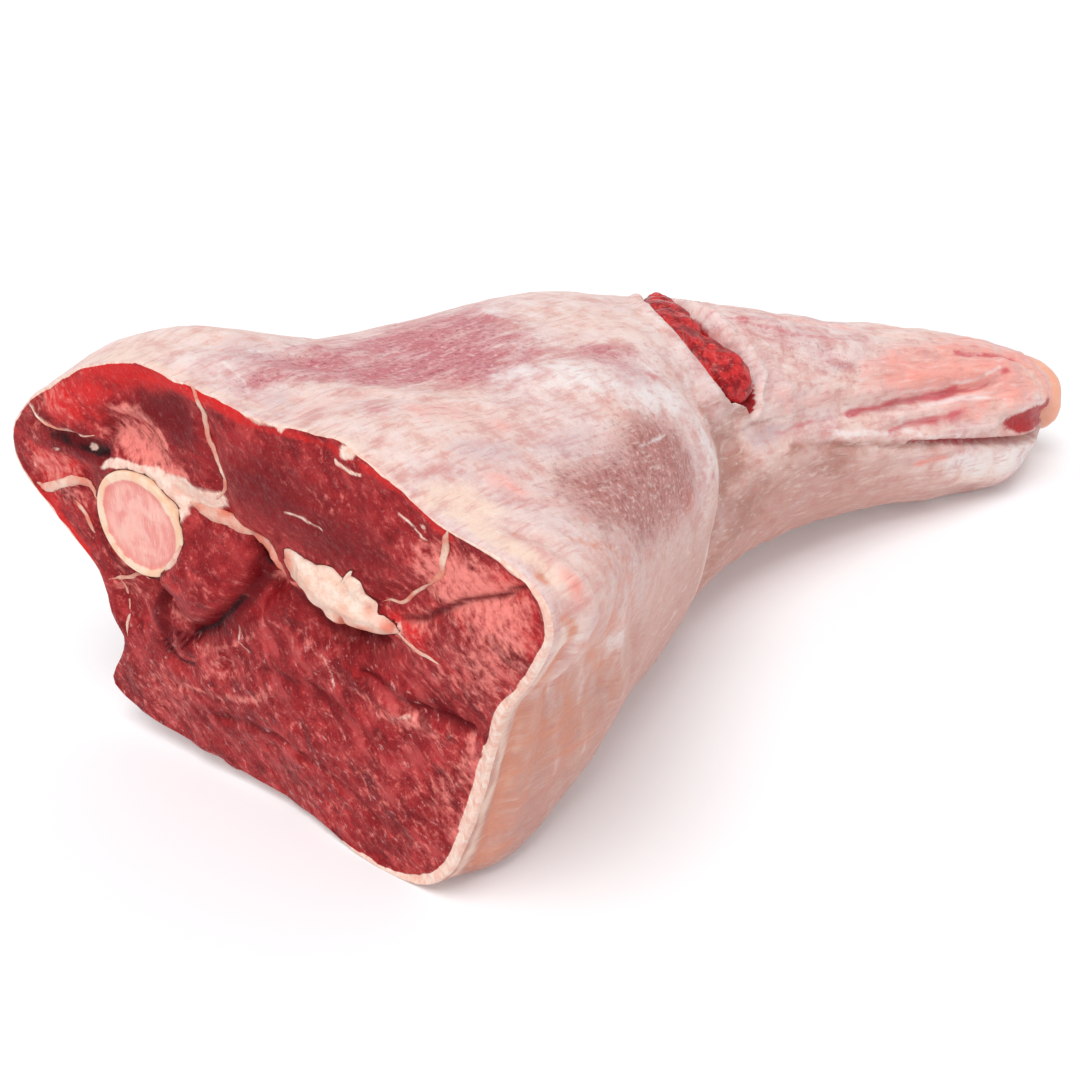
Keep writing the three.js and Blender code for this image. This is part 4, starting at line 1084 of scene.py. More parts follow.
def end_of_leg(ring):
    """Rings that round off the thin end after its last ring, and the point that closes them."""
    middle = smooth_skin(LEG_LENGTH, 0.0, 0.0)
    turn = math.radians(SECTIONS[LEG_LENGTH][3])
    ahead = np.array([math.cos(turn), math.sin(turn), 0])
    share = np.sin(np.linspace(math.pi / 2, 0, END_RINGS + 1))[1:-1, None, None]
    rings = middle + (ring - middle) * share + END_BULGE * np.sqrt(1 - share**2) * ahead
    return rings, middle + END_BULGE * ahead


def build_leg(material_cut, material_skin):
    round_ = rounds_of_leg()
    rim = cut_radius(np.radians(round_))
    shares = np.linspace(0, 1, FACE_RINGS)[1:, None] * np.ones_like(round_)
    shares = shares * (1 - FLAT_EDGE * RIM_ROUNDING / rim)
    corner = 1 - np.sin(np.radians(RIM_TURNS))
    shares = np.concatenate([shares, 1 - corner[:, None] * RIM_ROUNDING / rim])
    face, *face_place = face_points(round_, shares)
    alongs = rings_of_leg()[:, None] * np.ones_like(round_)
    rounds = np.ones_like(alongs) * round_
    skin, *slash_ratios = skin_points(alongs, rounds)
    end, tip = end_of_leg(skin[-1])
    centre, *centre_place = face_points(np.array([0.0]), np.array([0.0]))

    rings = np.concatenate([face, skin, end])
    points = closed_points(rings, centre[0], tip)
    piece = add_mesh("leg", points, closed_faces(len(rings), ROUND_STEPS), material_cut)
    mesh = piece.data
    mesh.materials.append(material_skin)
    count = len(face) * ROUND_STEPS
    last = (len(rings) - 1) * ROUND_STEPS
    on_skin = np.ones(len(mesh.polygons), np.int32)
    on_skin[:count] = 0
    on_skin[last:last + ROUND_STEPS] = 0
    mesh.polygons.foreach_set("material_index", on_skin)

    face_part = face_masks(*face_place, rounds[:1] + 0 * shares)
    rim_part = face_masks(-skin[0, :, 1], skin[0, :, 2], np.zeros(ROUND_STEPS), round_)
    centre_part = face_masks(*centre_place, np.array([0.0]))
    skin_part = skin_masks(alongs, rounds, *slash_ratios)
    set_leg_marks(mesh, count, face_part, rim_part, centre_part, skin_part)
    set_leg_grain(mesh, count, face_place, centre_place, alongs, rounds)
    return piece


def set_leg_marks(mesh, count, face_part, rim_part, centre_part, skin_part):
    """Marks of the leg's points: the cut's, the skin's, the rounded end's, and the two end points'."""
    for name in MASKS:
        values = np.zeros(len(mesh.vertices))
        if name in face_part:
            values[:count] = face_part[name].ravel()
            values[count:count + ROUND_STEPS] = rim_part[name]
            values[-2] = centre_part[name][0]
        if name in skin_part:
            skin = skin_part[name]
            values[count:count + skin.size] = skin.ravel()
            values[count + skin.size:-2] = np.tile(skin[-1], END_RINGS - 1)
            values[-1] = skin[-1].mean()
        set_attribute(mesh, name, values)


def set_leg_grain(mesh, count, face_place, centre_place, alongs, rounds):
    """Coordinates for streaks at the leg's points, in the same order."""
    end = np.full((END_RINGS - 1, ROUND_STEPS), LEG_LENGTH)
    skin = grain_places(np.concatenate([alongs, end]), np.concatenate([rounds, rounds[:len(end)]]))
    grain = np.zeros((len(mesh.vertices), 3))
    grain[:count] = across_grain(0, face_place[0], face_place[1] - CUT_HEIGHT).reshape(-1, 3)
    grain[count:-2] = skin.reshape(-1, 3)
    grain[-2] = across_grain(0, centre_place[0], centre_place[1] - CUT_HEIGHT)[0]
    grain[-1] = skin[-1, 0]
    set_attribute(mesh, "grain", grain)


def table_curves(table, places):
    """Every column of a table after its first, at the given places of the first."""
    rows = np.array(table)
    return [curve_through(rows[:, 0], column)(places) for column in rows[:, 1:].T]


def bone_rings(places, count):
    """Oval rings of the thigh bone at the given distances behind the cut."""
    across, height, wide, high = table_curves(THIGH_BONE[2:], np.maximum(places, SAWN_FLAT))
    corner = np.clip((THIGH_BONE[0][0] + SAWN_EDGE - places) / SAWN_EDGE, 0, 1)
    rounded = 1 - SAWN_EDGE * (1 - np.sqrt(1 - corner**2)) / wide
    wide, high = wide * rounded, high * rounded
    round_ = round_turns(count)
    tilt = math.radians(THIGH_BONE_TILT)
    uneven = 1
    for share, waves, start in BONE_WAVES:
        uneven = uneven + share * np.cos(waves * round_ + start)
    side = wide[:, None] * np.cos(round_) * uneven
    up = high[:, None] * np.sin(round_) * uneven
    across = across[:, None] + side * math.cos(tilt) - up * math.sin(tilt)
    height = height[:, None] + side * math.sin(tilt) + up * math.cos(tilt)
    return np.stack([places[:, None] + 0 * across, -across, height], axis=-1)


def build_thigh_bone(material):
    count = THIGH_BONE_SIDES
    first, last = THIGH_BONE[0][0], THIGH_BONE[-1][0]
    edge = first + SAWN_EDGE * np.array(SAWN_TURN)
    shaft = bone_rings(np.concatenate([edge, np.linspace(0, last, THIGH_BONE_RINGS)]), count)
    middle = shaft[0].mean(axis=0)
    shares = np.linspace(0, 1, SAWN_RINGS + 2)[1:-1, None, None]
    front = middle + (shaft[0] - middle) * shares
    inside = smooth((MARROW_SHARE - shares) / MARROW_FADE)[..., 0]
    front[..., 0] += inside * (MARROW_SUNK + lumps(front, MARROW_LUMPS))
    rings = np.concatenate([front, shaft])
    points = closed_points(rings, None, shaft[-1].mean(axis=0) + BLUNT_END)
    piece = add_mesh("thigh_bone_sawn", points, closed_faces(len(rings), count), material)
    core = np.ones(len(points))
    core[:front.shape[0] * count] = np.repeat(shares.ravel(), count)
    core[-2] = 0
    set_attribute(piece.data, "core", core)
    return piece


def build_shank_bone(material):
    count = SHANK_BONE_SIDES
    first, last = SHANK_BONE[0][0], SHANK_BONE[-1][0]
    shaft = np.linspace(first, KNOB_START - KNOB_GAP, SHANK_BONE_RINGS)
    places = np.concatenate([shaft, np.linspace(KNOB_START, last, KNOB_RINGS)])
    up, right, radius = table_curves(SHANK_BONE, places)
    past = np.maximum(places - LEG_LENGTH, 0)
    at = sections_at(np.minimum(places, LEG_LENGTH))
    turn = np.radians(at["turn"])
    round_ = round_turns(count)
    across = right[:, None] + radius[:, None] * np.cos(round_)
    rise = up[:, None] + radius[:, None] * np.sin(round_)
    x = (at["x"] + past * np.cos(turn))[:, None] + across * np.sin(turn)[:, None]
    y = (at["y"] + past * np.sin(turn))[:, None] - across * np.cos(turn)[:, None]
    rings = np.stack([x, y, at["z"][:, None] + rise], axis=-1)
    middle = rings.mean(axis=1, keepdims=True)
    rings = middle + (rings - middle) * (1 + lumps(rings, KNOB_LUMPS))[..., None]
    ahead = math.radians(at["turn"][-1])
    end = rings[-1].mean(axis=0) + KNOB_BULGE * np.array([math.cos(ahead), math.sin(ahead), 0])
    points = closed_points(rings, None, end)
    piece = add_mesh("shank_bone_knob", points, closed_faces(len(rings), count), material)
    set_attribute(piece.data, "core", np.full(len(points), KNOB_CORE))
    return piece


def build_fat_lump(material):
    """The lump of fat in the long seam: a soft low dome with folds, and a body behind it."""
    count = LUMP_ROUND_STEPS
    angle = round_turns(count)
    radius = np.interp(angle, *outline_turns(LUMP_OUTLINE, LUMP_MIDDLE), period=math.tau)
    share = np.sin(np.linspace(0, math.pi / 2, LUMP_RINGS + 1))[1:, None]
    across = LUMP_MIDDLE[0] + share * radius * np.cos(angle)
    height = LUMP_MIDDLE[1] + share * radius * np.sin(angle)
    flat = np.stack([across, height, 0 * across], axis=-1)
    bumps_end, dome_end = LUMP_EDGE
    proud = SHEET_PROUD + (LUMP_PROUD - SHEET_PROUD) * smooth((across - SHEET_END) / SHEET_FADE)
    dome = proud * (1 - share**3) ** 0.6 + lumps(flat, LUMP_UNEVEN) * smooth((1 - share) / bumps_end)
    for wide, deep, line in LUMP_FOLDS:
        dome = dome - deep * bell(along_line(flat[..., :2], smooth_path(line, 1))[0] / wide)
    sunk = face_depth(across[-1], height[-1], np.full(count, RIM_FADE)) + LUMP_SUNK
    depth = sunk * share**5 - np.maximum(dome, 0) * smooth((1 - share) / dome_end)
    front = np.stack([depth, -across, height], axis=-1)
    depths, shares = np.array(LUMP_BEHIND).T
    behind = np.linspace(0, depths[-1], LUMP_BACK_RINGS + 1)[1:, None]
    shrink = np.interp(behind, depths, shares)
    back = np.stack([
        sunk + behind,
        -(LUMP_MIDDLE[0] + shrink * radius * np.cos(angle)),
        LUMP_MIDDLE[1] + shrink * radius * np.sin(angle),
    ], axis=-1)
    rings = np.concatenate([front, back])
    piece = add_mesh("fat_lump_soft", closed_points(rings), closed_faces(len(rings), count), material)
    places = vertex_places(piece)
    # The stain is the lump's orange tone, with painted shade along its lower edge and in its folds.
    set_attribute(piece.data, "stain", lump_shade_stain(-places[:, 1], places[:, 2]))
    return piece


def vertex_values(piece, name):
    """The given vector of each point of a piece."""
    values = np.empty(len(piece.data.vertices) * 3)
    piece.data.vertices.foreach_get(name, values)
    return values.reshape(-1, 3)


def vertex_places(piece):
    """The places of a piece's points in the leg's frame."""
    return vertex_values(piece, "co") * 1000 + BOX_MIDDLE


def push_out(piece, rise):
    """Moves each point of a piece out along its normal, by the given millimetres."""
    moved = vertex_values(piece, "co") + vertex_values(piece, "normal") * rise / 1000
    piece.data.vertices.foreach_set("co", moved.ravel())
    piece.data.update()


def lump_shade_stain(across, height):
    return together([
        most * bell((across - x) / reach) * bell((height - z) / high)
        for x, z, reach, high, most in LUMP_SHADE_STAINS
    ])


def ribbon(path, half, index):
    """Closed rings of a flat strand that lies in the cut, thinner towards its ends."""
    line = smooth_path(path, MEMBRANE_STEP)
    steps = np.linspace(0, 1, len(line))
    ahead = np.gradient(line, axis=0)
    ahead /= np.linalg.norm(ahead, axis=1, keepdims=True)
    side = np.stack([-ahead[:, 1], ahead[:, 0]], axis=1)
    places = np.stack([line[:, 0], line[:, 1], 0 * steps], axis=1)
    size, layers, first_seed = MEMBRANE_NOISE
    wide = half * (1 + MEMBRANE_UNEVEN * layered_noise(places, size, layers, first_seed + index))
    wide = wide * np.minimum(1, MEMBRANE_TIP + MEMBRANE_TAPER * np.minimum(steps, 1 - steps))
    round_ = round_turns(MEMBRANE_SIDES)
    flat = line[:, None] + side[:, None] * (wide[:, None] * np.cos(round_))[..., None]
    away = np.hypot(line[:, 0], line[:, 1] - CUT_HEIGHT)
    edge = cut_radius(np.arctan2(line[:, 1] - CUT_HEIGHT, line[:, 0])) - away
    depth = face_depth(line[:, 0], line[:, 1], np.maximum(edge, 0))
    x = depth[:, None] - (MEMBRANE_PROUD + MEMBRANE_THICKNESS * wide[:, None]) * np.sin(round_)
    return np.stack([x, -flat[..., 0], flat[..., 1]], axis=-1)


def build_membranes(material):
    points = []
    faces = []
    for i, (half, path) in enumerate(MEMBRANES):
        rings = ribbon(path, half, i)
        first = sum(len(part) for part in points)
        points.append(closed_points(rings))
        faces += [tuple(first + k for k in face) for face in closed_faces(len(rings), rings.shape[1])]
    points = np.concatenate(points)
    piece = add_mesh("membranes", points, faces, material)
    set_attribute(piece.data, "stain", MEMBRANE_STAIN + lumps(points, STAIN_UNEVEN))
    return piece


def build_slash_lobes(material):
    """Glistening meat in the slash: overlapping closed blobs, joined by Boolean unions and smoothed."""
    lobes = []
    for i, (along, round_, deep, *reaches) in enumerate(SLASH_LOBES):
        normal = skin_normal(along, float(round_))
        forward = np.cross(np.cross(normal, (1.0, 0, 0)), normal)
        forward /= np.linalg.norm(forward)
        middle = smooth_skin(along, float(round_)) - deep * normal
        axes = np.stack([forward, np.cross(normal, forward), normal])
        lobes.append(add_blob(f"lobe_{i}", middle, axes, reaches, i, material))
    first = lobes[0]
    for other in lobes[1:]:
        boolean(first, other, "UNION")
    first.name = "slash_meat"
    remesh = first.modifiers.new("remesh", "REMESH")
    remesh.mode = "VOXEL"
    remesh.voxel_size = LOBE_MESH / 1000
    first.modifiers.new("soften", "SMOOTH").iterations = LOBE_SMOOTHING
    apply_modifiers(first)
    push_out(first, lumps(vertex_places(first), SLASH_LUMPS)[:, None])
    first.data.polygons.foreach_set("use_smooth", [True] * len(first.data.polygons))
    return first


def add_blob(name, middle, axes, reaches, index, material):
    """An uneven closed ball, stretched along three axes."""
    tilt = np.linspace(0, math.pi, LOBE_RINGS + 2)[1:-1, None]
    turn = round_turns(LOBE_SIDES)
    ball = [np.sin(tilt) * np.cos(turn), np.sin(tilt) * np.sin(turn), np.cos(tilt) + 0 * turn]
    ball = np.concatenate([np.stack(ball, axis=-1).reshape(-1, 3), [(0, 0, 1)], [(0, 0, -1)]])
    local = ball * reaches
    swell = 1
    for places, (share, size, layers, seed) in ((ball, LOBE_SWELL), (local, LOBE_BUMPS)):
        swell = swell + share * layered_noise(places, size, layers, seed + index)
    points = middle + (local * swell[:, None]) @ np.array(axes)
    return add_mesh(name, points, closed_faces(LOBE_RINGS, LOBE_SIDES), material)


def boolean(piece, other, operation):
    """Joins or cuts a piece with another, which is removed."""
    modifier = piece.modifiers.new(operation, "BOOLEAN")
    modifier.object = other
    modifier.operation = operation
    modifier.solver = "MANIFOLD"
    apply_modifiers(piece)
    bpy.data.objects.remove(other)


def apply_modifiers(piece):
    bpy.context.view_layer.update()
    evaluated = piece.evaluated_get(bpy.context.evaluated_depsgraph_get())
    mesh = bpy.data.meshes.new_from_object(evaluated)
    mesh.name = piece.name
    old = piece.data
    piece.modifiers.clear()
    piece.data = mesh
    bpy.data.meshes.remove(old)


def socket_cutter(source, grow):
    """A copy of a piece that is a little larger, to cut its socket."""
    cutter = bpy.data.objects.new("cutter", source.data.copy())
    bpy.context.scene.collection.objects.link(cutter)
    push_out(cutter, grow)
    return cutter


def linear(red, green, blue):
    """A colour for a shader from the 0 to 255 values seen on a screen."""
    shares = [value / 255 for value in (red, green, blue)]
    return tuple(v / 12.92 if v < 0.04045 else ((v + 0.055) / 1.055) ** 2.4 for v in shares) + (1,)


class Surface:
    """A material with one principled shader, and short calls that add nodes to it."""

    def __init__(self, name, **values):
        self.material = bpy.data.materials.new(name)
        self.material.use_nodes = True
        self.tree = self.material.node_tree
        self.shader = self.tree.nodes["Principled BSDF"]
        for socket, value in values.items():
            self.shader.inputs[socket.replace("_", " ")].default_value = value

    def node(self, kind, inputs, **settings):
        made = self.tree.nodes.new(kind)
        for name, value in settings.items():
            setattr(made, name, value)
        for place, value in inputs.items():
            self.put(value, made.inputs[place])
        return made

    def put(self, value, socket):
        if isinstance(value, bpy.types.NodeSocket):
            self.tree.links.new(value, socket)
        else:
            socket.default_value = value

    def mask(self, name):
        return self.node("ShaderNodeAttribute", {}, attribute_name=name).outputs["Fac"]

    def stretched(self, places, stretch):
        return self.node("ShaderNodeVectorMath", {0: places, 1: stretch}, operation="MULTIPLY").outputs[0]

    def places(self, name="grain", stretch=(1, 1, 1)):
        vector = self.node("ShaderNodeAttribute", {}, attribute_name=name).outputs["Vector"]
        return self.stretched(vector, stretch)

    def object_places(self):
        """Places in millimetres."""
        return self.stretched(self.node("ShaderNodeTexCoord", {}).outputs["Object"], (1000, 1000, 1000))

    def noise(self, places, size, detail=4, roughness=0.6, distortion=0):
        inputs = {"Vector": places, "Scale": 1 / size, "Detail": detail, "Roughness": roughness,
                  "Distortion": distortion}
        return self.node("ShaderNodeTexNoise", inputs).outputs[0]

    def maths(self, operation, a, b, clamp=False):
        return self.node("ShaderNodeMath", {0: a, 1: b}, operation=operation, use_clamp=clamp).outputs[0]

    def step(self, value, low, high, start=0.0, end=1.0):
        inputs = {"Value": value, "From Min": low, "From Max": high, "To Min": start, "To Max": end}
        return self.node("ShaderNodeMapRange", inputs, interpolation_type="SMOOTHSTEP").outputs[0]

    def mix(self, factor, a, b):
        return self.node("ShaderNodeMix", {0: factor, 6: a, 7: b}, data_type="RGBA").outputs[2]

    def blend(self, pattern, low, high, first, second):
        """A pattern of two colours."""
        return self.mix(self.step(pattern, low, high), linear(*first), linear(*second))

    def tint(self, base, rows, within=None):
        """Adds colours to a base: pattern, where they start and are full, their most, colour."""
        for pattern, low, high, most, colour in rows:
            factor = self.step(pattern, low, high, 0, most)
            if within is not None:
                factor = self.maths("MULTIPLY", factor, within)
            base = self.mix(factor, base, linear(*colour))
        return base

    def broken(self, mask, pattern, amount, low=0.3, high=0.7):
        """A mask with its edge broken up by a pattern."""
        centred = self.maths("SUBTRACT", pattern, 0.5)
        shifted = self.maths("MULTIPLY_ADD", centred, amount)
        self.put(mask, shifted.node.inputs[2])
        return self.step(shifted, low, high)

    def stain(self, base, rows):
        """Adds marks: name, colour, pattern that breaks the edge, by how much, start, full, most."""
        for name, colour, pattern, amount, low, high, most in rows:
            factor = self.broken(self.mask(name), pattern, amount, low, high)
            base = self.mix(self.maths("MULTIPLY", factor, most), base, linear(*colour))
        return base

    def relief(self, *rows):
        """Patterns of 0 to 1 as relief on top of each other, each with its height in millimetres."""
        normal = None
        for height, distance in rows:
            inputs = {"Height": height, "Distance": distance / 1000, "Strength": 1.0}
            if normal is not None:
                inputs["Normal"] = normal
            normal = self.node("ShaderNodeBump", inputs).outputs[0]
        return normal

    def finish(self, **sockets):
        for name, value in sockets.items():
            self.put(value, self.shader.inputs[name.replace("_", " ")])
        return self.material


def cut_material():
    cut = Surface("cut_meat", Subsurface_Weight=0.12, Subsurface_Radius=MEAT_RADIUS, Subsurface_Scale=0.001,
                  Specular_IOR_Level=0.14)
    place = cut.object_places()
    lower = cut.mask("lower")
    broad = cut.noise(place, 13, 3, 0.55)
    blotch = cut.noise(cut.places(stretch=(1, 0.55, 1)), 5.0, 5, 0.68)
    flecks = cut.noise(cut.places(stretch=(1, 0.6, 1)), 1.9, 4, 0.65)
    specks = cut.noise(place, 0.9, 3, 0.6)
    glints = cut.noise(cut.places(stretch=(1, 0.45, 1)), 1.5, 3, 0.6)
    base = cut.blend(broad, 0.35, 0.65, (140, 24, 30), (166, 40, 44))
    base = cut.tint(base, (
        (blotch, 0.48, 0.68, 0.7, (198, 66, 66)), (blotch, 0.47, 0.28, 0.75, (102, 10, 18)),
        (flecks, 0.52, 0.7, 0.55, (216, 98, 94)), (flecks, 0.47, 0.3, 0.6, (104, 10, 18)),
    ))
    # Besides the meat's own colours, the dark marks hold painted shade and the bright and pink marks hold
    # painted highlights.
    base = cut.stain(base, (
        ("bright_meat_and_highlight", (218, 36, 36), blotch, 1.1, 0.3, 0.9, 0.92),
        ("pink_meat_and_highlight", (246, 142, 132), flecks, 2.4, 0.22, 1.15, 0.97),
        ("dark_meat_and_shade", (112, 12, 20), blotch, 0.8, 0.25, 0.9, 0.95),
    ))
    calm = cut.maths("MULTIPLY_ADD", cut.mask("dark_meat_and_shade"), -0.35)
    cut.put(0.45, calm.node.inputs[2])
    base = cut.tint(base, ((specks, 0.6, 0.74, 1, (228, 140, 132)),), calm)
    streaky = cut.step(lower, 0, 1, 0.12, 0.6)
    # Painted glints: small light dashes on the streaky lower part of the cut.
    base = cut.tint(base, ((glints, 0.6, 0.7, 1, (232, 164, 160)),), streaky)
    strands = cut.noise(cut.places(stretch=(1, 0.3, 1)), 3.6, 4, 0.6)
    base = cut.tint(base, (
        (strands, 0.5, 0.66, 0.5, (206, 88, 88)), (strands, 0.46, 0.34, 0.6, (96, 12, 22)),
    ), lower)
    # Painted shade: near-black in the deepest crevices.
    base = cut.mix(cut.broken(cut.mask("deep"), flecks, 0.3, 0.25, 0.8), base, linear(46, 6, 12))
    fatty = cut.blend(flecks, 0.35, 0.65, (240, 190, 172), (250, 224, 210))
    base = cut.mix(cut.broken(cut.mask("fat"), flecks, 0.5, 0.3, 0.65), base, fatty)
    relief = cut.relief((flecks, 0.7), (specks, 0.25), (blotch, 0.9))
    wet = cut.step(glints, 0.35, 0.7, 0.5, 0.25)
    return cut.finish(Base_Color=base, Normal=relief, Roughness=wet)


def skin_material():
    skin = Surface("skin", Subsurface_Weight=0.2, Subsurface_Radius=FAT_RADIUS, Subsurface_Scale=0.0015,
                   Specular_IOR_Level=0.3)
    place = skin.object_places()
    streaks = skin.noise(skin.places(stretch=(0.14, 1, 1)), 1.4, 4, 0.62, 0.3)
    long_streaks = skin.noise(skin.places(stretch=(0.3, 1, 1)), 5, 5, 0.6, 0.4)
    hanging = skin.noise(skin.places(stretch=(1, 0.16, 0.16)), 2.6, 4, 0.62, 0.2)
    wide = skin.noise(place, 30, 3, 0.5)
    cloud = skin.noise(place, 8, 5, 0.66)
    fine = skin.noise(place, 1.6, 4, 0.7)
    specks = skin.noise(place, 0.9, 3, 0.6)
    base = skin.blend(wide, 0.35, 0.65, (220, 184, 182), (234, 199, 188))
    base = skin.tint(base, (
        (cloud, 0.4, 0.62, 0.75, (240, 219, 214)), (cloud, 0.48, 0.32, 0.6, (214, 148, 142)),
        # The side mask paints shade on the underside.
        (long_streaks, 0.52, 0.7, 0.4, (224, 160, 152)), (skin.mask("side"), 0.1, 1, 0.75, (192, 132, 116)),
    ))
    # Painted shade: tan streaks in the drapes.
    base = skin.tint(base, ((hanging, 0.42, 0.64, 1, (212, 150, 128)),), skin.mask("drape_shade"))
    base = skin.stain(base, (
        ("lavender", (196, 166, 172), cloud, 1.2, 0.25, 1.0, 0.75),
        ("cream", (243, 213, 194), cloud, 1.0, 0.25, 0.95, 0.85),
        # Warm orange painted shade in the folds behind the fat edge.
        ("warm_fold_shade", (220, 144, 116), long_streaks, 1.1, 0.3, 0.95, 0.85),
        # Brownish painted shade on the neck, the low side and in grooves.
        ("painted_shade", (172, 116, 100), long_streaks, 1.4, 0.3, 1.0, 0.85),
        ("warm", (244, 146, 130), cloud, 1.5, 0.3, 1.1, 0.8),
        ("rose", (190, 88, 102), long_streaks, 1.5, 0.2, 1.05, 0.85),
        ("brown", (168, 90, 80), cloud, 1.5, 0.25, 1.05, 0.85),
        ("magenta", (208, 70, 86), long_streaks, 1.5, 0.25, 1.0, 0.8),
    ))
    base = skin.tint(base, (
        (fine, 0.53, 0.66, 0.9, (228, 182, 182)), (fine, 0.47, 0.34, 0.8, (142, 68, 78)),
    ), skin.maths("MAXIMUM", skin.mask("rose"), skin.mask("brown")))
    # White tendon bands, and painted glints.
    base = skin.stain(base, (("sinew_and_glint", (240, 233, 232), cloud, 1.8, 0.3, 1.2, 0.78),))
    calm = skin.step(skin.mask("drape_shade"), 0, 0.6, 0.36, 0.1)
    base = skin.tint(base, ((streaks, 0.52, 0.72, 1, (246, 230, 224)),), calm)
    base = skin.tint(base, (
        (streaks, 0.47, 0.32, 0.45, (206, 138, 134)), (specks, 0.66, 0.78, 0.35, (250, 238, 232)),
    ))
    raw = skin.broken(skin.mask("raw"), fine, 0.5, 0.35, 0.65)
    meat = skin.mix(fine, linear(130, 14, 22), linear(206, 50, 54))
    base = skin.mix(raw, base, meat)
    relief = skin.relief((streaks, 0.35), (fine, 0.3), (cloud, 0.8))
    wet = skin.step(cloud, 0.3, 0.7, 0.34, 0.55)
    return skin.finish(Base_Color=base, Normal=relief, Roughness=wet)


def raw_meat_material():
    meat = Surface("wet_meat", Subsurface_Weight=0.2, Subsurface_Radius=MEAT_RADIUS, Subsurface_Scale=0.0015,
                   Specular_IOR_Level=0.3)
    place = meat.object_places()
    cloud = meat.noise(place, 4, 4, 0.6, 0.5)
    fine = meat.noise(place, 1.1, 3, 0.6)
    base = meat.blend(cloud, 0.4, 0.6, (140, 14, 22), (206, 44, 46))
    base = meat.tint(base, (
        (fine, 0.56, 0.74, 0.5, (238, 132, 118)), (fine, 0.46, 0.3, 0.6, (120, 8, 16)),
    ))
    return meat.finish(Base_Color=base, Normal=meat.relief((fine, 0.3)), Roughness=0.22)


def fat_material():
    fat = Surface("fat", Subsurface_Weight=0.3, Subsurface_Radius=FAT_RADIUS, Subsurface_Scale=0.002,
                  Specular_IOR_Level=0.3)
    place = fat.object_places()
    cloud = fat.noise(place, 5, 4, 0.6)
    fine = fat.noise(place, 1.2, 3, 0.6)
    base = fat.blend(cloud, 0.35, 0.65, (240, 194, 172), (252, 226, 210))
    base = fat.tint(base, ((fine, 0.5, 0.75, 0.6, (234, 178, 158)),))
    # On the lump the stain holds painted shade along its lower edge; on the membranes it is their own uneven
    # tone.
    base = fat.stain(base, (("stain", (224, 112, 86), cloud, 0.9, 0.35, 1.0, 0.85),))
    return fat.finish(Base_Color=base, Normal=fat.relief((fine, 0.5), (cloud, 1.0)), Roughness=0.38)


def bone_material():
    bone = Surface("bone", Subsurface_Weight=0.35, Subsurface_Radius=FAT_RADIUS, Subsurface_Scale=0.002,
                   Coat_Weight=0.15, Coat_Roughness=0.25)
    place = bone.object_places()
    core = bone.mask("core")
    saw = bone.noise(bone.stretched(place, (1, 2.4, 0.35)), 1.3, 3, 0.6)
    cloud = bone.noise(place, 6, 3, 0.55, 0.5)
    marrow = bone.blend(cloud, 0.35, 0.65, (238, 148, 138), (250, 184, 170))
    marrow = bone.tint(marrow, (
        (saw, 0.5, 0.75, 0.7, (252, 210, 196)), (saw, 0.45, 0.25, 0.5, (226, 130, 122)),
        (core, 0.7, 0.84, 0.5, (230, 122, 112)),
    ))
    rim = bone.blend(cloud, 0.4, 0.6, (244, 196, 162), (248, 216, 190))
    edge = bone.broken(core, cloud, 0.16, MARROW_SHARE - MARROW_EDGE, MARROW_SHARE)
    base = bone.mix(edge, marrow, rim)
    base = bone.tint(base, ((core, 1, KNOB_CORE, 0.7, (234, 158, 134)),))
    return bone.finish(Base_Color=base, Normal=bone.relief((saw, 0.25)), Roughness=0.42)


def floor_material():
    floor = Surface("pale_floor", Base_Color=linear(236, 236, 238), Roughness=0.9, Specular_IOR_Level=0.1,
                    Emission_Color=(1, 1, 1, 1), Emission_Strength=FLOOR_GLOW)
    return floor.material


def build_floor():
    corners = [(x * FLOOR_HALF, y * FLOOR_HALF, 0) for x, y in ((-1, -1), (1, -1), (1, 1), (-1, 1))]
    mesh = bpy.data.meshes.new("floor")
    mesh.from_pydata(corners, [], [(0, 1, 2, 3)])
    mesh.materials.append(floor_material())
    floor = bpy.data.objects.new("floor", mesh)
    bpy.context.scene.collection.objects.link(floor)


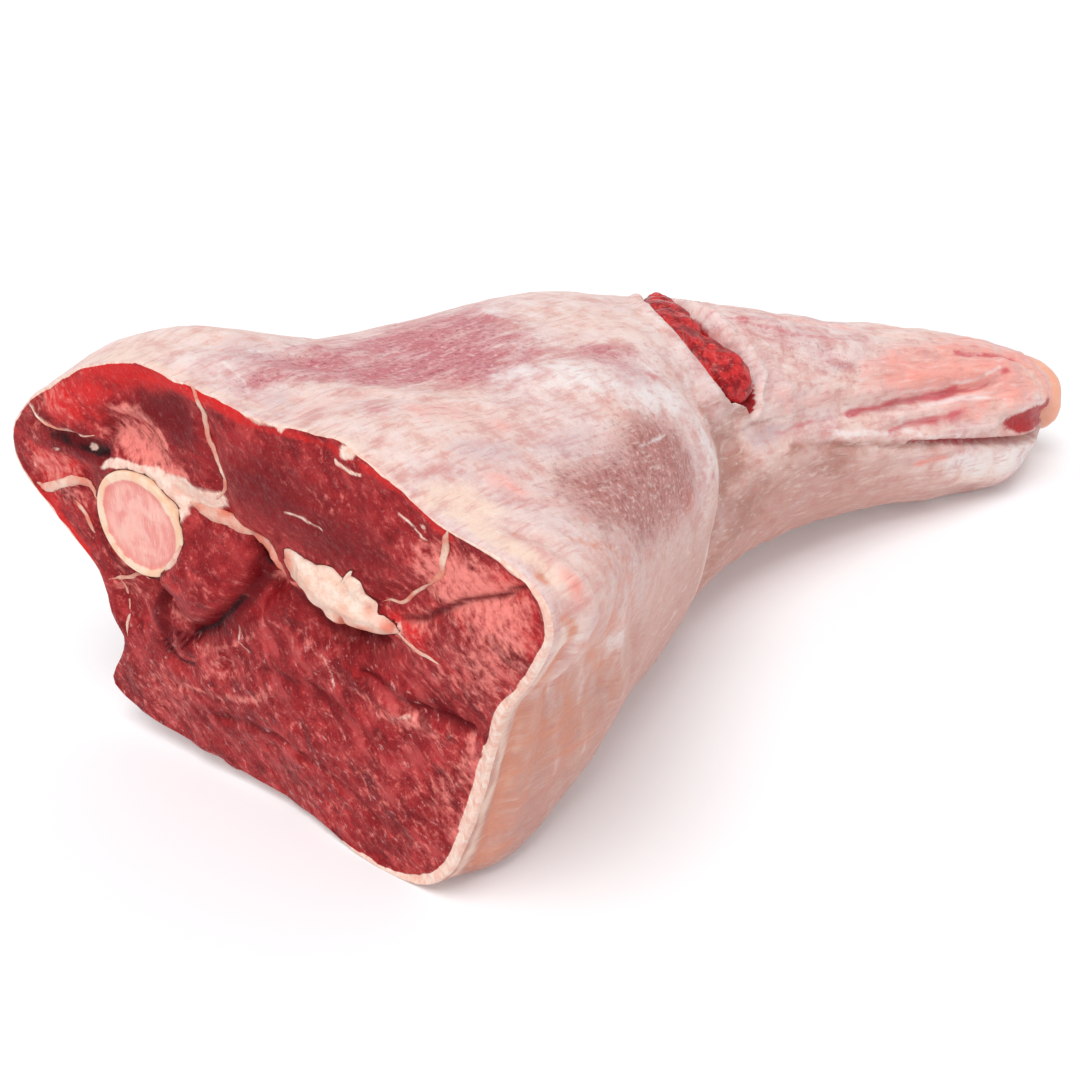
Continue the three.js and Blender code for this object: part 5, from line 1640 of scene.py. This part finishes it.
def build_camera():
    azimuth, elevation = math.radians(CAMERA_AZIMUTH), math.radians(CAMERA_ELEVATION)
    away = math.cos(elevation)
    back = np.array([math.sin(azimuth) * away, -math.cos(azimuth) * away, math.sin(elevation)])
    right = np.array([math.cos(azimuth), math.sin(azimuth), 0])
    up = np.cross(back, right)
    middle = PHOTO_PIXELS / 2
    aside = (CUT_FOOT_PIXEL[0] - middle) / FOCAL_PIXELS * CUT_FOOT_DISTANCE
    above = (middle - CUT_FOOT_PIXEL[1]) / FOCAL_PIXELS * CUT_FOOT_DISTANCE
    place = back * CUT_FOOT_DISTANCE - right * aside - up * above
    camera = bpy.data.cameras.new("camera")
    camera.sensor_width = SENSOR_WIDTH
    camera.lens = camera.sensor_width * FOCAL_PIXELS / PHOTO_PIXELS
    camera.clip_start, camera.clip_end = CAMERA_REACH
    camera_object = bpy.data.objects.new("camera", camera)
    matrix = Matrix.Identity(4)
    for column, axis in enumerate((right, up, back)):
        for row in range(3):
            matrix[row][column] = axis[row]
    for row, value in enumerate(to_metres(place)):
        matrix[row][3] = value
    camera_object.matrix_world = matrix
    bpy.context.scene.collection.objects.link(camera_object)
    bpy.context.scene.camera = camera_object


def build_lights():
    scene = bpy.context.scene
    scene.view_settings.view_transform = "Standard"
    world = bpy.data.worlds.new("studio")
    world.use_nodes = True
    sky = world.node_tree.nodes["Background"].inputs
    sky["Color"].default_value = (1, 1, 1, 1)
    sky["Strength"].default_value = SKY_BRIGHTNESS
    scene.world = world
    key = bpy.data.lights.new("key", "SUN")
    key.energy = KEY_STRENGTH
    key.angle = math.radians(KEY_SOFTNESS)
    key_object = bpy.data.objects.new("key", key)
    key_object.rotation_mode = "QUATERNION"
    key_object.rotation_quaternion = Vector(KEY_FROM).to_track_quat("Z", "Y")
    scene.collection.objects.link(key_object)


def keep(piece, slot, *nodes):
    """Attaches a piece to the root body and hides the nodes that it stands for; its slot is not used."""
    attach(piece, "root")
    if nodes:
        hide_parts(*nodes)


build_camera()
build_lights()
build_floor()
bone = bone_material()
fat = fat_material()
leg = build_leg(cut_material(), skin_material())
thigh_bone = build_thigh_bone(bone)
shank_bone = build_shank_bone(bone)
fat_lump = build_fat_lump(fat)
membranes = build_membranes(fat)
slash_meat = build_slash_lobes(raw_meat_material())
for inner in (thigh_bone, shank_bone, fat_lump):
    boolean(leg, socket_cutter(inner, SOCKET_GAP), "DIFFERENCE")

keep(leg, "meat", "meat", "fat_cover")
keep(thigh_bone, "bone", "thigh_bone")
keep(shank_bone, "bone", "shank_bone")
keep(fat_lump, "fat", "fat_lump")
keep(membranes, "fat")
keep(slash_meat, "meat")
